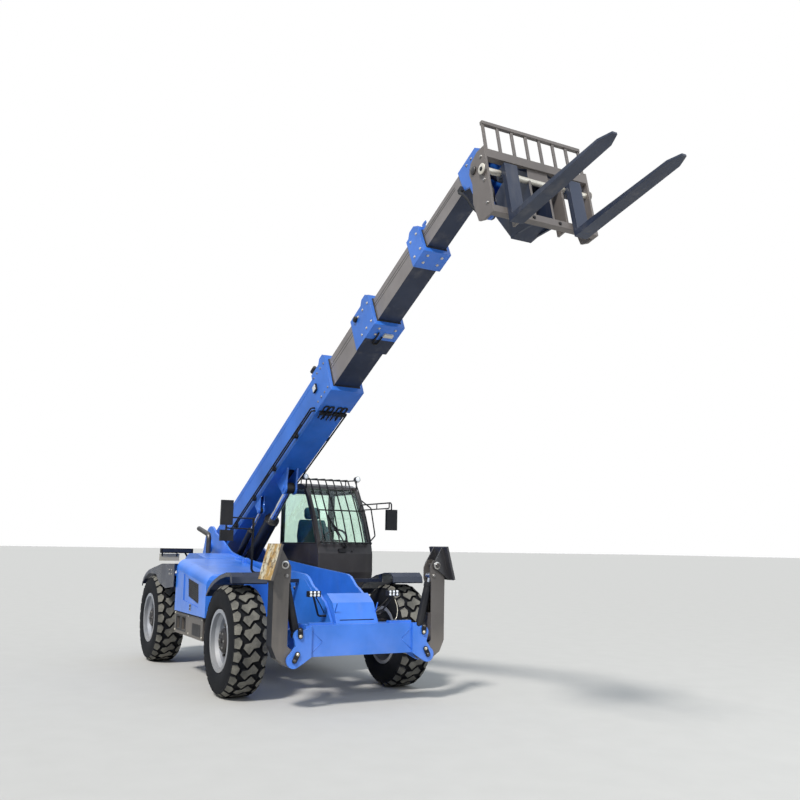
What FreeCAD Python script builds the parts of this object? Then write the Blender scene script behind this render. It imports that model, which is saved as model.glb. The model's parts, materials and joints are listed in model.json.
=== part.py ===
import FreeCAD, Part
import math
import os

V = FreeCAD.Vector

# Telehandler with a four-section boom, fork carriage and front stabilizers.
# Millimetres. X points forward, Y to the left, Z up. The pieces are drawn from the
# middle between the axles on the ground, then moved so that the origin is the middle
# of the whole machine's length on the ground.

# Wheels and axles
WHEELBASE = 3310.0
TYRE_R = 595.0
TYRE_W = 400.0
TREAD_W = 300.0
TYRE_WALL = 42.0
RIM_R = 305.0
RIM_FLANGE_R = 336.0
RIM_W = 364.0
RIM_WALL = 9.0
FLANGE_T = 12.0
DISC_T = 15.0
DISC_OFFSET = 64.0
OVERALL_W = 2410.0
HUB_R = 130.0
HUB_L = 88.0
SPINDLE_R = 60.0
KINGPIN_IN = 175.0
KINGPIN_R = 30.0
YOKE_GAP = 250.0
YOKE_T = 55.0
YOKE_WALL_GAP = 125.0
KNUCKLE_POST_R = 68.0
AXLE_BEAM_H = 190.0
AXLE_BEAM_W = 150.0
DIFF_R = 215.0
LUGS = 26
LUG_DEPTH = 29.0
LUG_FOOT = 55.0
LUG_INSET = 24.0
LUG_INNER_Y = 20.0
LUG_HALF_L = 50.0
WHEEL_BOLTS = 10
WHEEL_BOLT_PCD = 335.0
WHEEL_BOLT_R = 14.0

# Chassis
FRAME_Y = 280.0
FRAME_T = 30.0
FRAME_BELLY_Z = 520.0
FRAME_OVER_AXLE_Z = 760.0
FRAME_FRONT_X = 2600.0
REAR_END_X = -2560.0
PIVOT_X = -1900.0
PIVOT_Z = 1607.6
TOWER_R = 295.0
PIVOT_PIN_R = 45.0
DECK_Z = 775.0
BASE_LUG_T = 20.0
TOW_PLATE_T = 40.0
TOW_BORE_R = 20.0

# Boom, measured from its pivot along its own axis
BOOM_ANGLE = 26.31
BOOM_WALL = 10.0
STAGE_WALL = 9.0
BOOM_TAIL = 280.0
OUTER_W, OUTER_H = 370.0, 450.0
STEP_2W, STEP_2H = 54.0, 94.0
STEP_3W, STEP_3H = 56.0, 76.0
STEP_4W, STEP_4H = 52.0, 72.0
STAGE2_W, STAGE2_H = OUTER_W - STEP_2W, OUTER_H - STEP_2H
STAGE3_W, STAGE3_H = STAGE2_W - STEP_3W, STAGE2_H - STEP_3H
STAGE4_W, STAGE4_H = STAGE3_W - STEP_4W, STAGE3_H - STEP_4H
OUTER_FRONT = 4523.0
STAGE2_FRONT = 5673.0
STAGE3_FRONT = 6772.0
STAGE4_FRONT = 7640.0
STAGE2_L = 4620.0
STAGE3_L = 4560.0
STAGE4_L = 4380.0
COLLAR_T = 24.0
OUTER_COLLAR_L = 420.0
STAGE2_COLLAR_L = 470.0
STAGE3_COLLAR_L = 240.0
PAD_L = 130.0
PAD_GAP = 0.08

# Boom head and fork carriage. The carriage is drawn from its pivot, with its first
# axis along the forks and its second up the shanks.
HEAD_PIVOT_S = 7737.0
HEAD_PIVOT_N = -598.0
HEAD_PLATE_T = 20.0
HEAD_PIN_R = 32.0
FORK_PITCH = 13.0
CARRIAGE_Y = 525.0
CARRIAGE_PLATE_T = 20.0
CARRIAGE_FACE = 555.0
CARRIAGE_TOP = 170.0
CARRIAGE_BOTTOM = -440.0
BACKREST_TOP = 423.0
BACKREST_BARS = 8
SHAFT_R = 25.0
SHAFT_U, SHAFT_V = 512.0, -30.0
FORK_Y = 323.0
FORK_W = 125.0
FORK_T = 50.0
FORK_TIP_T = 16.0
FORK_TIP_U = 1700.0
FORK_BOTTOM_V = -505.0

# Cylinders: pins, lengths from the base pin, diameters
LIFT_BASE = (-1613.0, 900.0)
LIFT_EYE_S, LIFT_EYE_N = 2535.0, -404.0
LEVEL_Y = -153.0
LEVEL_BASE = (-1541.0, 1021.0)
LEVEL_EYE_S, LEVEL_EYE_N = 1860.0, -380.0
TILT_BASE_S, TILT_BASE_N = 7705.0, -10.0
TILT_EYE_U, TILT_EYE_V = 285.0, 110.0
TILT_LUG_Y = 54.0
TILT_LUG_T = 16.0

# Stabilizers, drawn for the left side
STAB_X = 2710.0
STAB_HALF_W = 75.0
LUG_GAP = 10.0
LUG_T = 30.0
PIN_OVER = 8.0
LEG_PIN = (770.0, 500.0)
STAB_CYL_PIN = (715.0, 735.0)
STAB_EYE = (865.0, 1330.0)
FOOT_PIN = (895.0, 1440.0)
LEG_PIN_R = 28.0
STAB_PIN_R = 22.0
FOOT_PIN_R = 22.0
LEG_PLATE_T = 15.0
LEG_OUTER_Y = 1005.0
FOOT_TOP = (980.0, 1650.0)
FOOT_BOTTOM = (1075.0, 1290.0)
FOOT_W = 380.0
FOOT_T = 25.0
BEAM_Y = 645.0
BEAM_Z0, BEAM_Z1 = 525.0, 835.0
BEAM_X0, BEAM_X1 = 2600.0, 2800.0
PLATE_T = 15.0

# Cab
CAB_X0 = -640.0
CAB_Y0, CAB_Y1 = 360.0, 1140.0
CAB_WALL = 45.0
SILL_Z = 1650.0
CAB_FLOOR_Z = 1000.0
GLASS_T = 6.0
GLASS_INSET = 10.0
SEAT_W = 480.0
DOOR_GAP = 6.0
ROOF_LAMP_X, ROOF_LAMP_Z, ROOF_LAMP_R = 225.0, 2557.0, 38.0

# Hood and housings on the right
HOOD_L = 1375.0
HOOD_TO_AXLE = 700.0
HOOD_X1 = WHEELBASE / 2 - HOOD_TO_AXLE
HOOD_X0 = HOOD_X1 - HOOD_L
MIRROR_POST_X = 45.0  # the post ahead of the hood's front end
HOOD_Y0, HOOD_Y1 = -1150.0, -345.0
HOOD_Z0 = 780.0
HOOD_REAR_TOP = 1445.0
HOOD_FALL = 0.118
HOOD_CROWN = 8.0
HOOD_SHOULDER = 130.0
HOOD_NOSE = 70.0
HOOD_WALL = 20.0
RECESS_DEPTH = 10.0
HINGE_Y, HINGE_Z = -335.0, 1446.0
HINGE_PIN_R = 8.0
HINGE_R = 16.0
HINGE_L = 60.0
HINGE_XS = (HOOD_X0 + 80, HOOD_X0 + 400)
SIDE_BOX_TOP = 760.0
SIDE_BOX_TYRE_GAP = 160.0
STEP_BOX_TYRE_GAP = 260.0
FENDER_HOOD_GAP = 10.0
FENDER_CAB_GAP = 25.0
FENDER_OVER_TYRE = 25.0
FENDER_W = 400.0
HOUSING_FENDER_GAP = 20.0

# Fits
RUN_GAP = 0.05
ROD_GAP = 0.1
SIDE_GAP = 1.0
SMALL_GAP = 0.3

RAD = math.pi / 180.0


def box(x0, x1, y0, y1, z0, z1):
    return Part.makeBox(x1 - x0, y1 - y0, z1 - z0, V(x0, y0, z0))


def rod(p, q, r):
    p, q = V(*p), V(*q)
    return Part.makeCylinder(r, (q - p).Length, p, q - p)


def cross_pin(x, z, y0, y1, r):
    return rod((x, y0, z), (x, y1, z), r)


def prism_xz(points, y0, y1):
    wire = Part.makePolygon([V(x, y0, z) for x, z in points + points[:1]])
    return Part.Face(wire).extrude(V(0, y1 - y0, 0))


def prism_yz(points, x0, x1):
    wire = Part.makePolygon([V(x0, y, z) for y, z in points + points[:1]])
    return Part.Face(wire).extrude(V(x1 - x0, 0, 0))


def prism_xy(points, z0, z1):
    wire = Part.makePolygon([V(x, y, z0) for x, y in points + points[:1]])
    return Part.Face(wire).extrude(V(0, 0, z1 - z0))


def fuse(shapes):
    result = shapes[0]
    if len(shapes) > 1:
        result = result.multiFuse(shapes[1:]).removeSplitter()
    return result


def cut(shape, tools):
    return shape.cut(Part.makeCompound(tools)) if tools else shape


def mirrored(shape):
    return shape.mirror(V(0, 0, 0), V(0, 1, 0))


def both_sides(shape):
    return [shape, mirrored(shape)]


def bent_tube(points, r, bend):
    """Round bar along straight runs joined by tangent arcs."""
    points = [V(*p) for p in points]
    edges = []
    start = points[0]
    for before, corner, after in zip(points, points[1:], points[2:]):
        into = (corner - before).normalize()
        out = (after - corner).normalize()
        turn = into.getAngle(out)
        back = bend * math.tan(turn / 2)
        a = corner - into * back
        b = corner + out * back
        side = (out - into).normalize()
        middle = corner + side * (bend / math.cos(turn / 2) - bend)
        edges.append(Part.makeLine(start, a))
        edges.append(Part.Arc(a, middle, b).toShape())
        start = b
    edges.append(Part.makeLine(start, points[-1]))
    path = Part.Wire(edges)
    ring = Part.Wire([Part.makeCircle(r, points[0], points[1] - points[0])])
    return path.makePipeShell([ring], True, False)


def on_boom(shape):
    """Move a shape drawn along the level boom axis to the raised boom."""
    shape = shape.copy()
    shape.rotate(V(0, 0, 0), V(0, 1, 0), -BOOM_ANGLE)
    shape.translate(V(PIVOT_X, 0, PIVOT_Z))
    return shape


def boom_point(s, n):
    c, d = math.cos(BOOM_ANGLE * RAD), math.sin(BOOM_ANGLE * RAD)
    return PIVOT_X + s * c - n * d, PIVOT_Z + s * d + n * c


HEAD_X, HEAD_Z = boom_point(HEAD_PIVOT_S, HEAD_PIVOT_N)


def on_carriage(shape):
    shape = shape.copy()
    shape.rotate(V(0, 0, 0), V(0, 1, 0), -FORK_PITCH)
    shape.translate(V(HEAD_X, 0, HEAD_Z))
    return shape


def carriage_point(u, v):
    c, d = math.cos(FORK_PITCH * RAD), math.sin(FORK_PITCH * RAD)
    return HEAD_X + u * c - v * d, HEAD_Z + u * d + v * c


TIP_X = carriage_point(FORK_TIP_U, FORK_BOTTOM_V)[0]
ORIGIN_X = (REAR_END_X + TIP_X) / 2


# Wheels

WHEELS = {
    "front_left": (WHEELBASE / 2, 1),
    "front_right": (WHEELBASE / 2, -1),
    "rear_left": (-WHEELBASE / 2, 1),
    "rear_right": (-WHEELBASE / 2, -1),
}
WHEEL_Y = OVERALL_W / 2 - TYRE_W / 2
KINGPIN_Y = WHEEL_Y - KINGPIN_IN
DISC_Y = WHEEL_Y + DISC_OFFSET


def turned(profile, x):
    """Turn a profile of (y, radius) pairs about the wheel's axis."""
    wire = Part.makePolygon([V(x, y, TYRE_R + r) for y, r in profile + profile[:1]])
    return Part.Face(wire).revolve(V(x, 0, TYRE_R), V(0, 1, 0), 360)


def faceted_ring(profile, count):
    """Ring of flat faces: the profile of (y, radius) pairs at equal turns about the wheel's axis."""
    turns = [2 * math.pi * (i + 0.75) / count for i in range(count)]
    sections = [[V(r * math.cos(a), y, r * math.sin(a)) for y, r in profile] for a in turns]
    faces = []
    for here, there in zip(sections, sections[1:] + sections[:1]):
        for k in range(len(profile)):
            m = (k + 1) % len(profile)
            faces.append(Part.Face(Part.makePolygon([here[k], here[m], there[m], there[k], here[k]])))
    shell = Part.makeShell(faces)
    shell.sewShape()
    solid = Part.makeSolid(shell)
    return solid if solid.Volume > 0 else solid.reversed()


def lug(side):
    """Tread lug at the top of the tyre, from the shoulder towards the middle."""
    outer, inner, half = TYRE_W / 2 - LUG_INSET, LUG_INNER_Y, LUG_HALF_L
    outline = [(-half, outer), (half / 3, outer), (half, inner), (-half / 8, inner)]
    top = math.sqrt(TYRE_R ** 2 - half ** 2)
    return prism_xy([(x, side * y) for x, y in outline], TYRE_R - LUG_FOOT, top)


def tyre_shape():
    """Tyre about the origin: a ring with its cavity and two staggered rows of lugs."""
    half = TYRE_W / 2
    seat = RIM_W / 2 - FLANGE_T
    corner = 1 / math.cos(math.pi / LUGS)
    bead = (RIM_R + SMALL_GAP) * corner
    base = TYRE_R - LUG_DEPTH
    outer = [(-seat, bead), (-seat, RIM_FLANGE_R + 6), (-half, RIM_R + 150), (-TREAD_W / 2 - 28, base)]
    inner = [(TREAD_W / 2, base - TYRE_WALL), (seat - TYRE_WALL, bead)]
    profile = outer + [(-y, r) for y, r in reversed(outer)]
    profile += [(y, r) for y, r in reversed(inner)] + [(-y, r) for y, r in inner]
    ring = faceted_ring(profile, LUGS)
    lugs = []
    for i in range(LUGS):
        for side, shift in ((1, 0.25), (-1, -0.25)):
            piece = lug(side)
            piece.rotate(V(0, 0, 0), V(0, 1, 0), 360.0 * (i + shift) / LUGS)
            lugs.append(piece)
    return fuse([ring] + lugs)


TYRE = tyre_shape()


def tyre(x):
    shape = TYRE.copy()
    shape.translate(V(x, WHEEL_Y, TYRE_R))
    return shape


def rim(x):
    half = RIM_W / 2
    y0, y1 = WHEEL_Y - half, WHEEL_Y + half
    barrel_in = RIM_R - RIM_WALL
    hub_bore = SPINDLE_R + RUN_GAP
    cap_in = DISC_Y + HUB_L - 25
    profile = [
        (y0, barrel_in), (y0, RIM_FLANGE_R), (y0 + FLANGE_T, RIM_FLANGE_R), (y0 + FLANGE_T, RIM_R),
        (y1 - FLANGE_T, RIM_R), (y1 - FLANGE_T, RIM_FLANGE_R), (y1, RIM_FLANGE_R), (y1, barrel_in),
        (DISC_Y + DISC_T + 55, barrel_in), (DISC_Y + DISC_T, barrel_in - 45), (DISC_Y + DISC_T, HUB_R),
        (DISC_Y + HUB_L - 20, HUB_R), (DISC_Y + HUB_L, HUB_R - 28), (DISC_Y + HUB_L, 0),
        (cap_in, 0), (cap_in, hub_bore), (DISC_Y, hub_bore), (DISC_Y, barrel_in),
    ]
    body = turned(profile, x)
    bolts = []
    for i in range(WHEEL_BOLTS):
        a = 2 * math.pi * i / WHEEL_BOLTS
        bx = x + WHEEL_BOLT_PCD / 2 * math.cos(a)
        bz = TYRE_R + WHEEL_BOLT_PCD / 2 * math.sin(a)
        bolts.append(rod((bx, DISC_Y + DISC_T - 1, bz), (bx, DISC_Y + DISC_T + 22, bz), WHEEL_BOLT_R))
    return fuse([body] + bolts)


def knuckle(x):
    inner = YOKE_GAP / 2 - SIDE_GAP
    post = rod((x, KINGPIN_Y, TYRE_R - inner), (x, KINGPIN_Y, TYRE_R + inner), KNUCKLE_POST_R)
    post = cut(post, [rod((x, KINGPIN_Y, 0), (x, KINGPIN_Y, 2 * TYRE_R), KINGPIN_R + RUN_GAP)])
    housing = cross_pin(x, TYRE_R, KINGPIN_Y + 50, DISC_Y - SIDE_GAP, 110)
    spindle = cross_pin(x, TYRE_R, DISC_Y - 10, DISC_Y + HUB_L - 25 - SIDE_GAP, SPINDLE_R)
    arm_out = 210 * (-1 if x > 0 else 1)
    arm = prism_xy(
        [(x, KINGPIN_Y + 40), (x, KINGPIN_Y - 40), (x + arm_out, KINGPIN_Y - 40),
         (x + arm_out, KINGPIN_Y + 5)],
        TYRE_R - 60, TYRE_R - 25)
    return fuse([post, housing, spindle, cut(arm, [box(x - 60, x + 60, 0, 2000, 0, 2000)])])


def axle(x):
    """Axle housing with its differential bulge, end yokes and kingpins."""
    end = KINGPIN_Y - YOKE_WALL_GAP
    half_w, half_h = AXLE_BEAM_W / 2, AXLE_BEAM_H / 2
    parts = [box(x - half_w, x + half_w, -end, end, TYRE_R - half_h, TYRE_R + half_h)]
    parts.append(cross_pin(x, TYRE_R, -DIFF_R, DIFF_R, DIFF_R * 0.8))
    nose = -1 if x > 0 else 1
    parts.append(rod((x, 0, TYRE_R), (x + nose * 330, 0, TYRE_R), DIFF_R * 0.55))
    for side in (1, -1):
        for top in (1, -1):
            z0 = TYRE_R + top * YOKE_GAP / 2
            z1 = z0 + top * YOKE_T
            y0, y1 = sorted((side * (end - 70), side * (KINGPIN_Y + 55)))
            parts.append(box(x - 60, x + 60, y0, y1, min(z0, z1), max(z0, z1)))
        reach = YOKE_GAP / 2 + YOKE_T
        y0, y1 = sorted((side * (end - 70), side * end))
        parts.append(box(x - 60, x + 60, y0, y1, TYRE_R - reach, TYRE_R + reach))
        y = side * KINGPIN_Y
        parts.append(rod((x, y, TYRE_R - reach - 12), (x, y, TYRE_R + reach + 12), KINGPIN_R))
    top = TYRE_R + half_h
    for y in (-FRAME_Y + FRAME_T / 2, FRAME_Y - FRAME_T / 2):
        parts.append(box(x - 90, x + 90, y - 60, y + 60, top - 20, FRAME_OVER_AXLE_Z))
    return fuse(parts)


# Chassis

def frame_outline():
    a0, a1 = 168.0, 42.0
    steps = 12
    tower = []
    for i in range(steps + 1):
        a = (a0 + (a1 - a0) * i / steps) * RAD
        tower.append((PIVOT_X + TOWER_R * math.cos(a), PIVOT_Z + TOWER_R * math.sin(a)))
    axle_x = WHEELBASE / 2
    return (
        [(REAR_END_X + 140, FRAME_OVER_AXLE_Z), (REAR_END_X + 140, 1180), (-2300, 1440)]
        + tower
        + [(-1520, 1758), (-1296, 1683), (-1167, 1631), (-1076, 1599), (-964, 1556), (-856, 1525),
           (-649, 1497), (-255, 1448), (170, 1418), (1013, 1362), (1832, 1316), (1930, 1290),
           (2080, 1190), (2146, 1171), (2330, 1078), (2420, 1040), (FRAME_FRONT_X, 850),
           (FRAME_FRONT_X, BEAM_Z0), (axle_x + 720, BEAM_Z0), (axle_x + 560, FRAME_OVER_AXLE_Z),
           (axle_x - 420, FRAME_OVER_AXLE_Z), (axle_x - 560, FRAME_BELLY_Z),
           (560 - axle_x, FRAME_BELLY_Z), (420 - axle_x, FRAME_OVER_AXLE_Z)]
    )


def base_lugs(cylinder, y):
    """Two plates that carry a cylinder's base pin above the deck between the axle and the boom."""
    x, z = cylinder.base
    r = cylinder.pin_r * 1.6
    foot = z - cylinder.barrel_r - 25
    outline = [(x + r, z), (x + r, foot), (x + 2.4 * r, DECK_Z), (x - 2.0 * r, DECK_Z), (x - r, z)]
    lugs = []
    for side in (1, -1):
        near = y + side * (cylinder.eye_w / 2 + SIDE_GAP)
        y0, y1 = sorted((near, near + side * BASE_LUG_T))
        lugs.append(fuse([prism_xz(outline, y0, y1), cross_pin(x, z, y0, y1, r)]))
    return lugs


def hood_hinge_ears(x):
    """Ears beside one hinge knuckle of the hood, with the pin between them."""
    half = HINGE_L / 2 + SIDE_GAP
    y = HINGE_Y
    ear = [(-FRAME_Y, HINGE_Z - 110), (-FRAME_Y, HINGE_Z - 40), (y + 12, HINGE_Z + 14), (y - 12, HINGE_Z + 14),
           (y - 12, HINGE_Z - 14), (y, HINGE_Z - 80)]
    ears = [prism_yz(ear, x + half, x + half + 12), prism_yz(ear, x - half - 12, x - half)]
    return ears + [rod((x - half - 12, y, HINGE_Z), (x + half + 12, y, HINGE_Z), HINGE_PIN_R)]


def chassis_frame():
    outline = frame_outline()
    pin_hole = cross_pin(PIVOT_X, PIVOT_Z, 0, 2000, PIVOT_PIN_R)
    plate = cut(prism_xz(outline, FRAME_Y - FRAME_T, FRAME_Y), [pin_hole])
    boss = cross_pin(PIVOT_X, PIVOT_Z, FRAME_Y, FRAME_Y + 22, 95)
    side = fuse([plate, boss])
    parts = both_sides(side)
    inner = FRAME_Y - FRAME_T
    axle_x = WHEELBASE / 2
    belly = 12.0
    parts.append(box(560 - axle_x, axle_x - 560, -inner, inner, FRAME_BELLY_Z, FRAME_BELLY_Z + belly))
    plates = ((-2300, 780, 1150), (475 - axle_x, 540, 830), (axle_x - 755, 540, 1000),
              (axle_x + 595, 780, 1050))
    for x, z0, z1 in plates:
        parts.append(box(x, x + 20, -inner, inner, z0, z1))
    parts.append(box(LIFT_BASE[0] - 200, LIFT_BASE[0] + 260, -inner, inner, DECK_Z, DECK_Z + 25))
    parts += base_lugs(LIFT, 0.0)
    parts += base_lugs(LEVEL, LEVEL_Y)
    for x in HINGE_XS:
        parts += hood_hinge_ears(x)
    shape = fuse(parts)
    pins = [cross_pin(PIVOT_X, PIVOT_Z, -FRAME_Y - 30, FRAME_Y + 30, PIVOT_PIN_R)]
    for cylinder, y in ((LIFT, 0.0), (LEVEL, LEVEL_Y)):
        reach = cylinder.eye_w / 2 + SIDE_GAP + BASE_LUG_T + 8
        pins.append(cross_pin(*cylinder.base, y - reach, y + reach, cylinder.pin_r))
    return fuse([shape] + pins)


TOW_X = REAR_END_X + 45


def counterweight():
    inner = FRAME_Y - FRAME_T
    slab = prism_xz(
        [(REAR_END_X, 760), (REAR_END_X, 1120), (REAR_END_X + 30, 1180), (REAR_END_X + 140, 1180),
         (REAR_END_X + 140, 720), (REAR_END_X + 40, 720)], -900, 900)
    core = box(REAR_END_X + 140, -2300, -inner, inner, 800, 1150)
    blocks = both_sides(box(REAR_END_X + 140, -2345, FRAME_Y, 480, 800, 1180))
    tow = box(REAR_END_X - 10, REAR_END_X + 150, -60, 60, 780, 780 + TOW_PLATE_T)
    bore = rod((TOW_X, 0, 700), (TOW_X, 0, 900), TOW_BORE_R)
    recess = box(REAR_END_X - 1, REAR_END_X + 110, -120, 120, 715, 920)
    return cut(fuse([cut(fuse([slab, core] + blocks), [recess]), tow]), [bore])


def lug_outline():
    (y0, z0), (y1, z1) = LEG_PIN, STAB_CYL_PIN
    points = [(BEAM_Y - 60, BEAM_Z0), (y0 - 95, BEAM_Z0 - 60)]
    for a in range(-130, 61, 19):
        points.append((y0 + 78 * math.cos(a * RAD), z0 + 78 * math.sin(a * RAD)))
    points.append((y0 - 12, (z0 + z1) / 2 + 20))
    for a in range(-30, 131, 20):
        points.append((y1 + 66 * math.cos(a * RAD), z1 + 66 * math.sin(a * RAD)))
    points.append((BEAM_Y - 60, BEAM_Z1))
    return points


def front_frame():
    """Stabilizer beam with its lugs and the sloping cover between the frame plates."""
    wall = PLATE_T
    beam = box(BEAM_X0, BEAM_X1, -BEAM_Y, BEAM_Y, BEAM_Z0, BEAM_Z1)
    hollow = box(BEAM_X0 + wall, BEAM_X1 - wall, -BEAM_Y + 60, BEAM_Y - 60, BEAM_Z0 - 1, BEAM_Z1 - wall)
    beam = cut(beam, [hollow])
    front = STAB_X + STAB_HALF_W + LUG_GAP
    back = STAB_X - STAB_HALF_W - LUG_GAP
    lug = lug_outline()
    beam_end = box(back, front, BEAM_Y - 45, BEAM_Y + 1, BEAM_Z0 - 1, BEAM_Z1 + 1)
    beam = cut(beam, both_sides(beam_end))
    lugs = []
    for x0, x1 in ((front, front + LUG_T), (back - LUG_T, back)):
        lugs += both_sides(prism_yz(lug, x0, x1))
    pins = []
    for (y, z), r in ((LEG_PIN, LEG_PIN_R), (STAB_CYL_PIN, STAB_PIN_R)):
        pins += both_sides(rod((back - LUG_T - PIN_OVER, y, z), (front + LUG_T + PIN_OVER, y, z), r))
    cover_y = FRAME_Y - FRAME_T - 5
    cover = [(2300, 1095), (2400, 1130), (2550, 1040), (2665, 835), (2400, 835)]
    inner = [(2320, 1080), (2398, 1112), (2538, 1030), (2635, 835), (2400, 820), (2300, 820)]
    box_cover = cut(prism_xz(cover, -cover_y, cover_y), [prism_xz(inner, -cover_y + wall, cover_y - wall)])
    frame = prism_xz(frame_outline(), FRAME_Y - FRAME_T, FRAME_Y)
    box_cover = cut(box_cover, both_sides(frame))
    ledges = both_sides(box(BEAM_X1 - 90, BEAM_X1 - 30, BEAM_Y / 2, BEAM_Y - 50, BEAM_Z1, BEAM_Z1 + 22))
    return fuse([beam] + lugs + pins + ledges + box_cover.Solids)


def oval(a, b, r, x0, x1):
    """Plate with round ends about two points (y, z)."""
    length = math.hypot(b[0] - a[0], b[1] - a[1])
    ny, nz = (b[1] - a[1]) / length * r, -(b[0] - a[0]) / length * r
    middle = [(a[0] + ny, a[1] + nz), (b[0] + ny, b[1] + nz), (b[0] - ny, b[1] - nz), (a[0] - ny, a[1] - nz)]
    ends = [rod((x0, y, z), (x1, y, z), r) for y, z in (a, b)]
    return fuse([prism_yz(middle, x0, x1)] + ends)


def keeper_plates():
    front = STAB_X + STAB_HALF_W + LUG_GAP + LUG_T + PIN_OVER
    plates = []
    for (y, z), dy, dz in ((LEG_PIN, -30, 62), (STAB_CYL_PIN, 4, 62)):
        plates += both_sides(oval((y, z), (y + dy, z + dz), 26, front, front + 10))
    return Part.makeCompound(plates)


def side_boxes():
    """Step box under the hood and the tank with its steps under the cab."""
    inner = FRAME_Y
    outer = -HOOD_Y0 - 30
    right_x1 = WHEELBASE / 2 - TYRE_R - STEP_BOX_TYRE_GAP
    right = box(HOOD_X0 - 60, right_x1, -outer, -inner, 500, SIDE_BOX_TOP)
    recesses = [box(x, x + 150, -outer - 1, -outer + 30, 560, 710) for x in (HOOD_X0 + 40, HOOD_X0 + 290)]
    right = cut(right, recesses)
    left_x0 = SIDE_BOX_TYRE_GAP + TYRE_R - WHEELBASE / 2
    wall_y = CAB_Y1 - 60
    section = [(inner, 500), (wall_y - 40, 500), (wall_y, 560), (wall_y, 940), (inner, 940)]
    tank = prism_yz(section, left_x0, 560)
    steps = [box(-420, -60, wall_y, wall_y + 70, z, z + 20) for z in (560, 800)]
    left = fuse([tank] + steps)
    return Part.makeCompound([right, left])


def hood_top(x):
    """Height of the hood's inner top edge, which falls towards the front."""
    return HOOD_REAR_TOP - HOOD_FALL * (x - HOOD_X0)


def engine_block():
    return box(HOOD_X0 + 90, HOOD_X1 - 195, HOOD_Y0 + 130, -FRAME_Y - 10, SIDE_BOX_TOP, 1230)


def rear_housing():
    """Cooler and exhaust housing between the hood and the tower."""
    outline = [
        (HOOD_X0 - 8, 770), (HOOD_X0 - 8, HOOD_REAR_TOP), (-980, 1506), (-1150, 1500), (-1300, 1500),
        (-1480, 1430), (-1480, 1300), (-960, 1260), (-900, 1180), (-900, 770),
    ]
    return prism_xz(outline, HOUSING_FENDER_GAP - FENDER_Y0, -FRAME_Y)


def hood_solid(inset):
    """Hood body: a section with a round shoulder drawn along the falling top, cut to its side outline."""
    shift = 200.0
    x0, x1 = HOOD_X0 - shift, HOOD_X1 + shift
    top = hood_top(x0) - inset
    y0, y1 = HOOD_Y0 + inset, HOOD_Y1
    r = HOOD_SHOULDER - inset
    a = V(x0, y0, top - HOOD_CROWN - r)
    b = V(x0, y0 + r, top - HOOD_CROWN)
    middle = V(x0, y0 + r * (1 - math.sqrt(0.5)), top - HOOD_CROWN - r * (1 - math.sqrt(0.5)))
    inner_top = V(x0, y1, top)
    inner_low = V(x0, y1, 400)
    outer_low = V(x0, y0, 400)
    edges = [Part.makeLine(outer_low, a), Part.Arc(a, middle, b).toShape(), Part.makeLine(b, inner_top),
             Part.makeLine(inner_top, inner_low), Part.makeLine(inner_low, outer_low)]
    body = Part.Face(Part.Wire(edges)).extrude(V(x1 - x0, 0, -HOOD_FALL * (x1 - x0)))
    nose, front, high = HOOD_X1 - HOOD_NOSE - inset, HOOD_X1 - inset, 1700
    end_top = hood_top(HOOD_X1)
    side = [
        (HOOD_X0 + inset, HOOD_Z0), (HOOD_X0 + inset, high), (nose, high), (nose, end_top + 8 - inset),
        (front - HOOD_NOSE / 3, end_top - 22), (front, end_top - HOOD_NOSE), (front, HOOD_Z0),
    ]
    return body.common(prism_xz(side, HOOD_Y0 - 10, HOOD_Y1 + 10))


GRILLE = [(HOOD_X1 - 820, 1207.0), (HOOD_X1 - 357, 1149.0), (HOOD_X1 - 310, 916.0), (HOOD_X1 - 772, 986.0)]
RECESS = [(HOOD_X1 - 1003, 1257.0), (HOOD_X1 - 238, 1144.0), (HOOD_X1 - 306, 880.0), (HOOD_X1 - 977, 930.0)]
SLATS = 9


def engine_hood():
    inner = hood_solid(HOOD_WALL)
    inner.translate(V(0, 0, -1))
    below = box(HOOD_X0 - 1, HOOD_X1 + 1, HOOD_Y0 - 1, HOOD_Y1 + 1, 0, HOOD_Z0)
    open_side = box(HOOD_X0 + HOOD_WALL, HOOD_X1 - HOOD_WALL, HOOD_Y1 - 1, HOOD_Y1 + 1, HOOD_Z0,
                    hood_top(HOOD_X1) - 60)
    window = prism_xz(GRILLE, HOOD_Y0 - 1, HOOD_Y0 + HOOD_WALL + 1)
    recess = prism_xz(RECESS, HOOD_Y0 - 1, HOOD_Y0 + RECESS_DEPTH)
    shell = cut(hood_solid(0), [inner, below, open_side, window, recess])
    half = HINGE_L / 2
    knuckles = [rod((x - half, HINGE_Y, HINGE_Z), (x + half, HINGE_Y, HINGE_Z), HINGE_R) for x in HINGE_XS]
    bore = rod((HOOD_X0, HINGE_Y, HINGE_Z), (HOOD_X1, HINGE_Y, HINGE_Z), HINGE_PIN_R + RUN_GAP)
    ear_room = [box(x - HINGE_L / 2 - 30, x + HINGE_L / 2 + 30, HINGE_Y - 20, HINGE_Y + 20, 1250, HINGE_Z + 20)
                for x in HINGE_XS]
    return cut(fuse([cut(shell, ear_room)] + knuckles + hinge_tabs()), [bore])


def hinge_tabs():
    """Short blocks that join the hinge knuckles to the hood's top wall."""
    half = HINGE_L / 2
    return [box(x - half, x + half, HINGE_Y - 50, HINGE_Y, hood_top(x) - 16, HINGE_Z + 6) for x in HINGE_XS]


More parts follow.
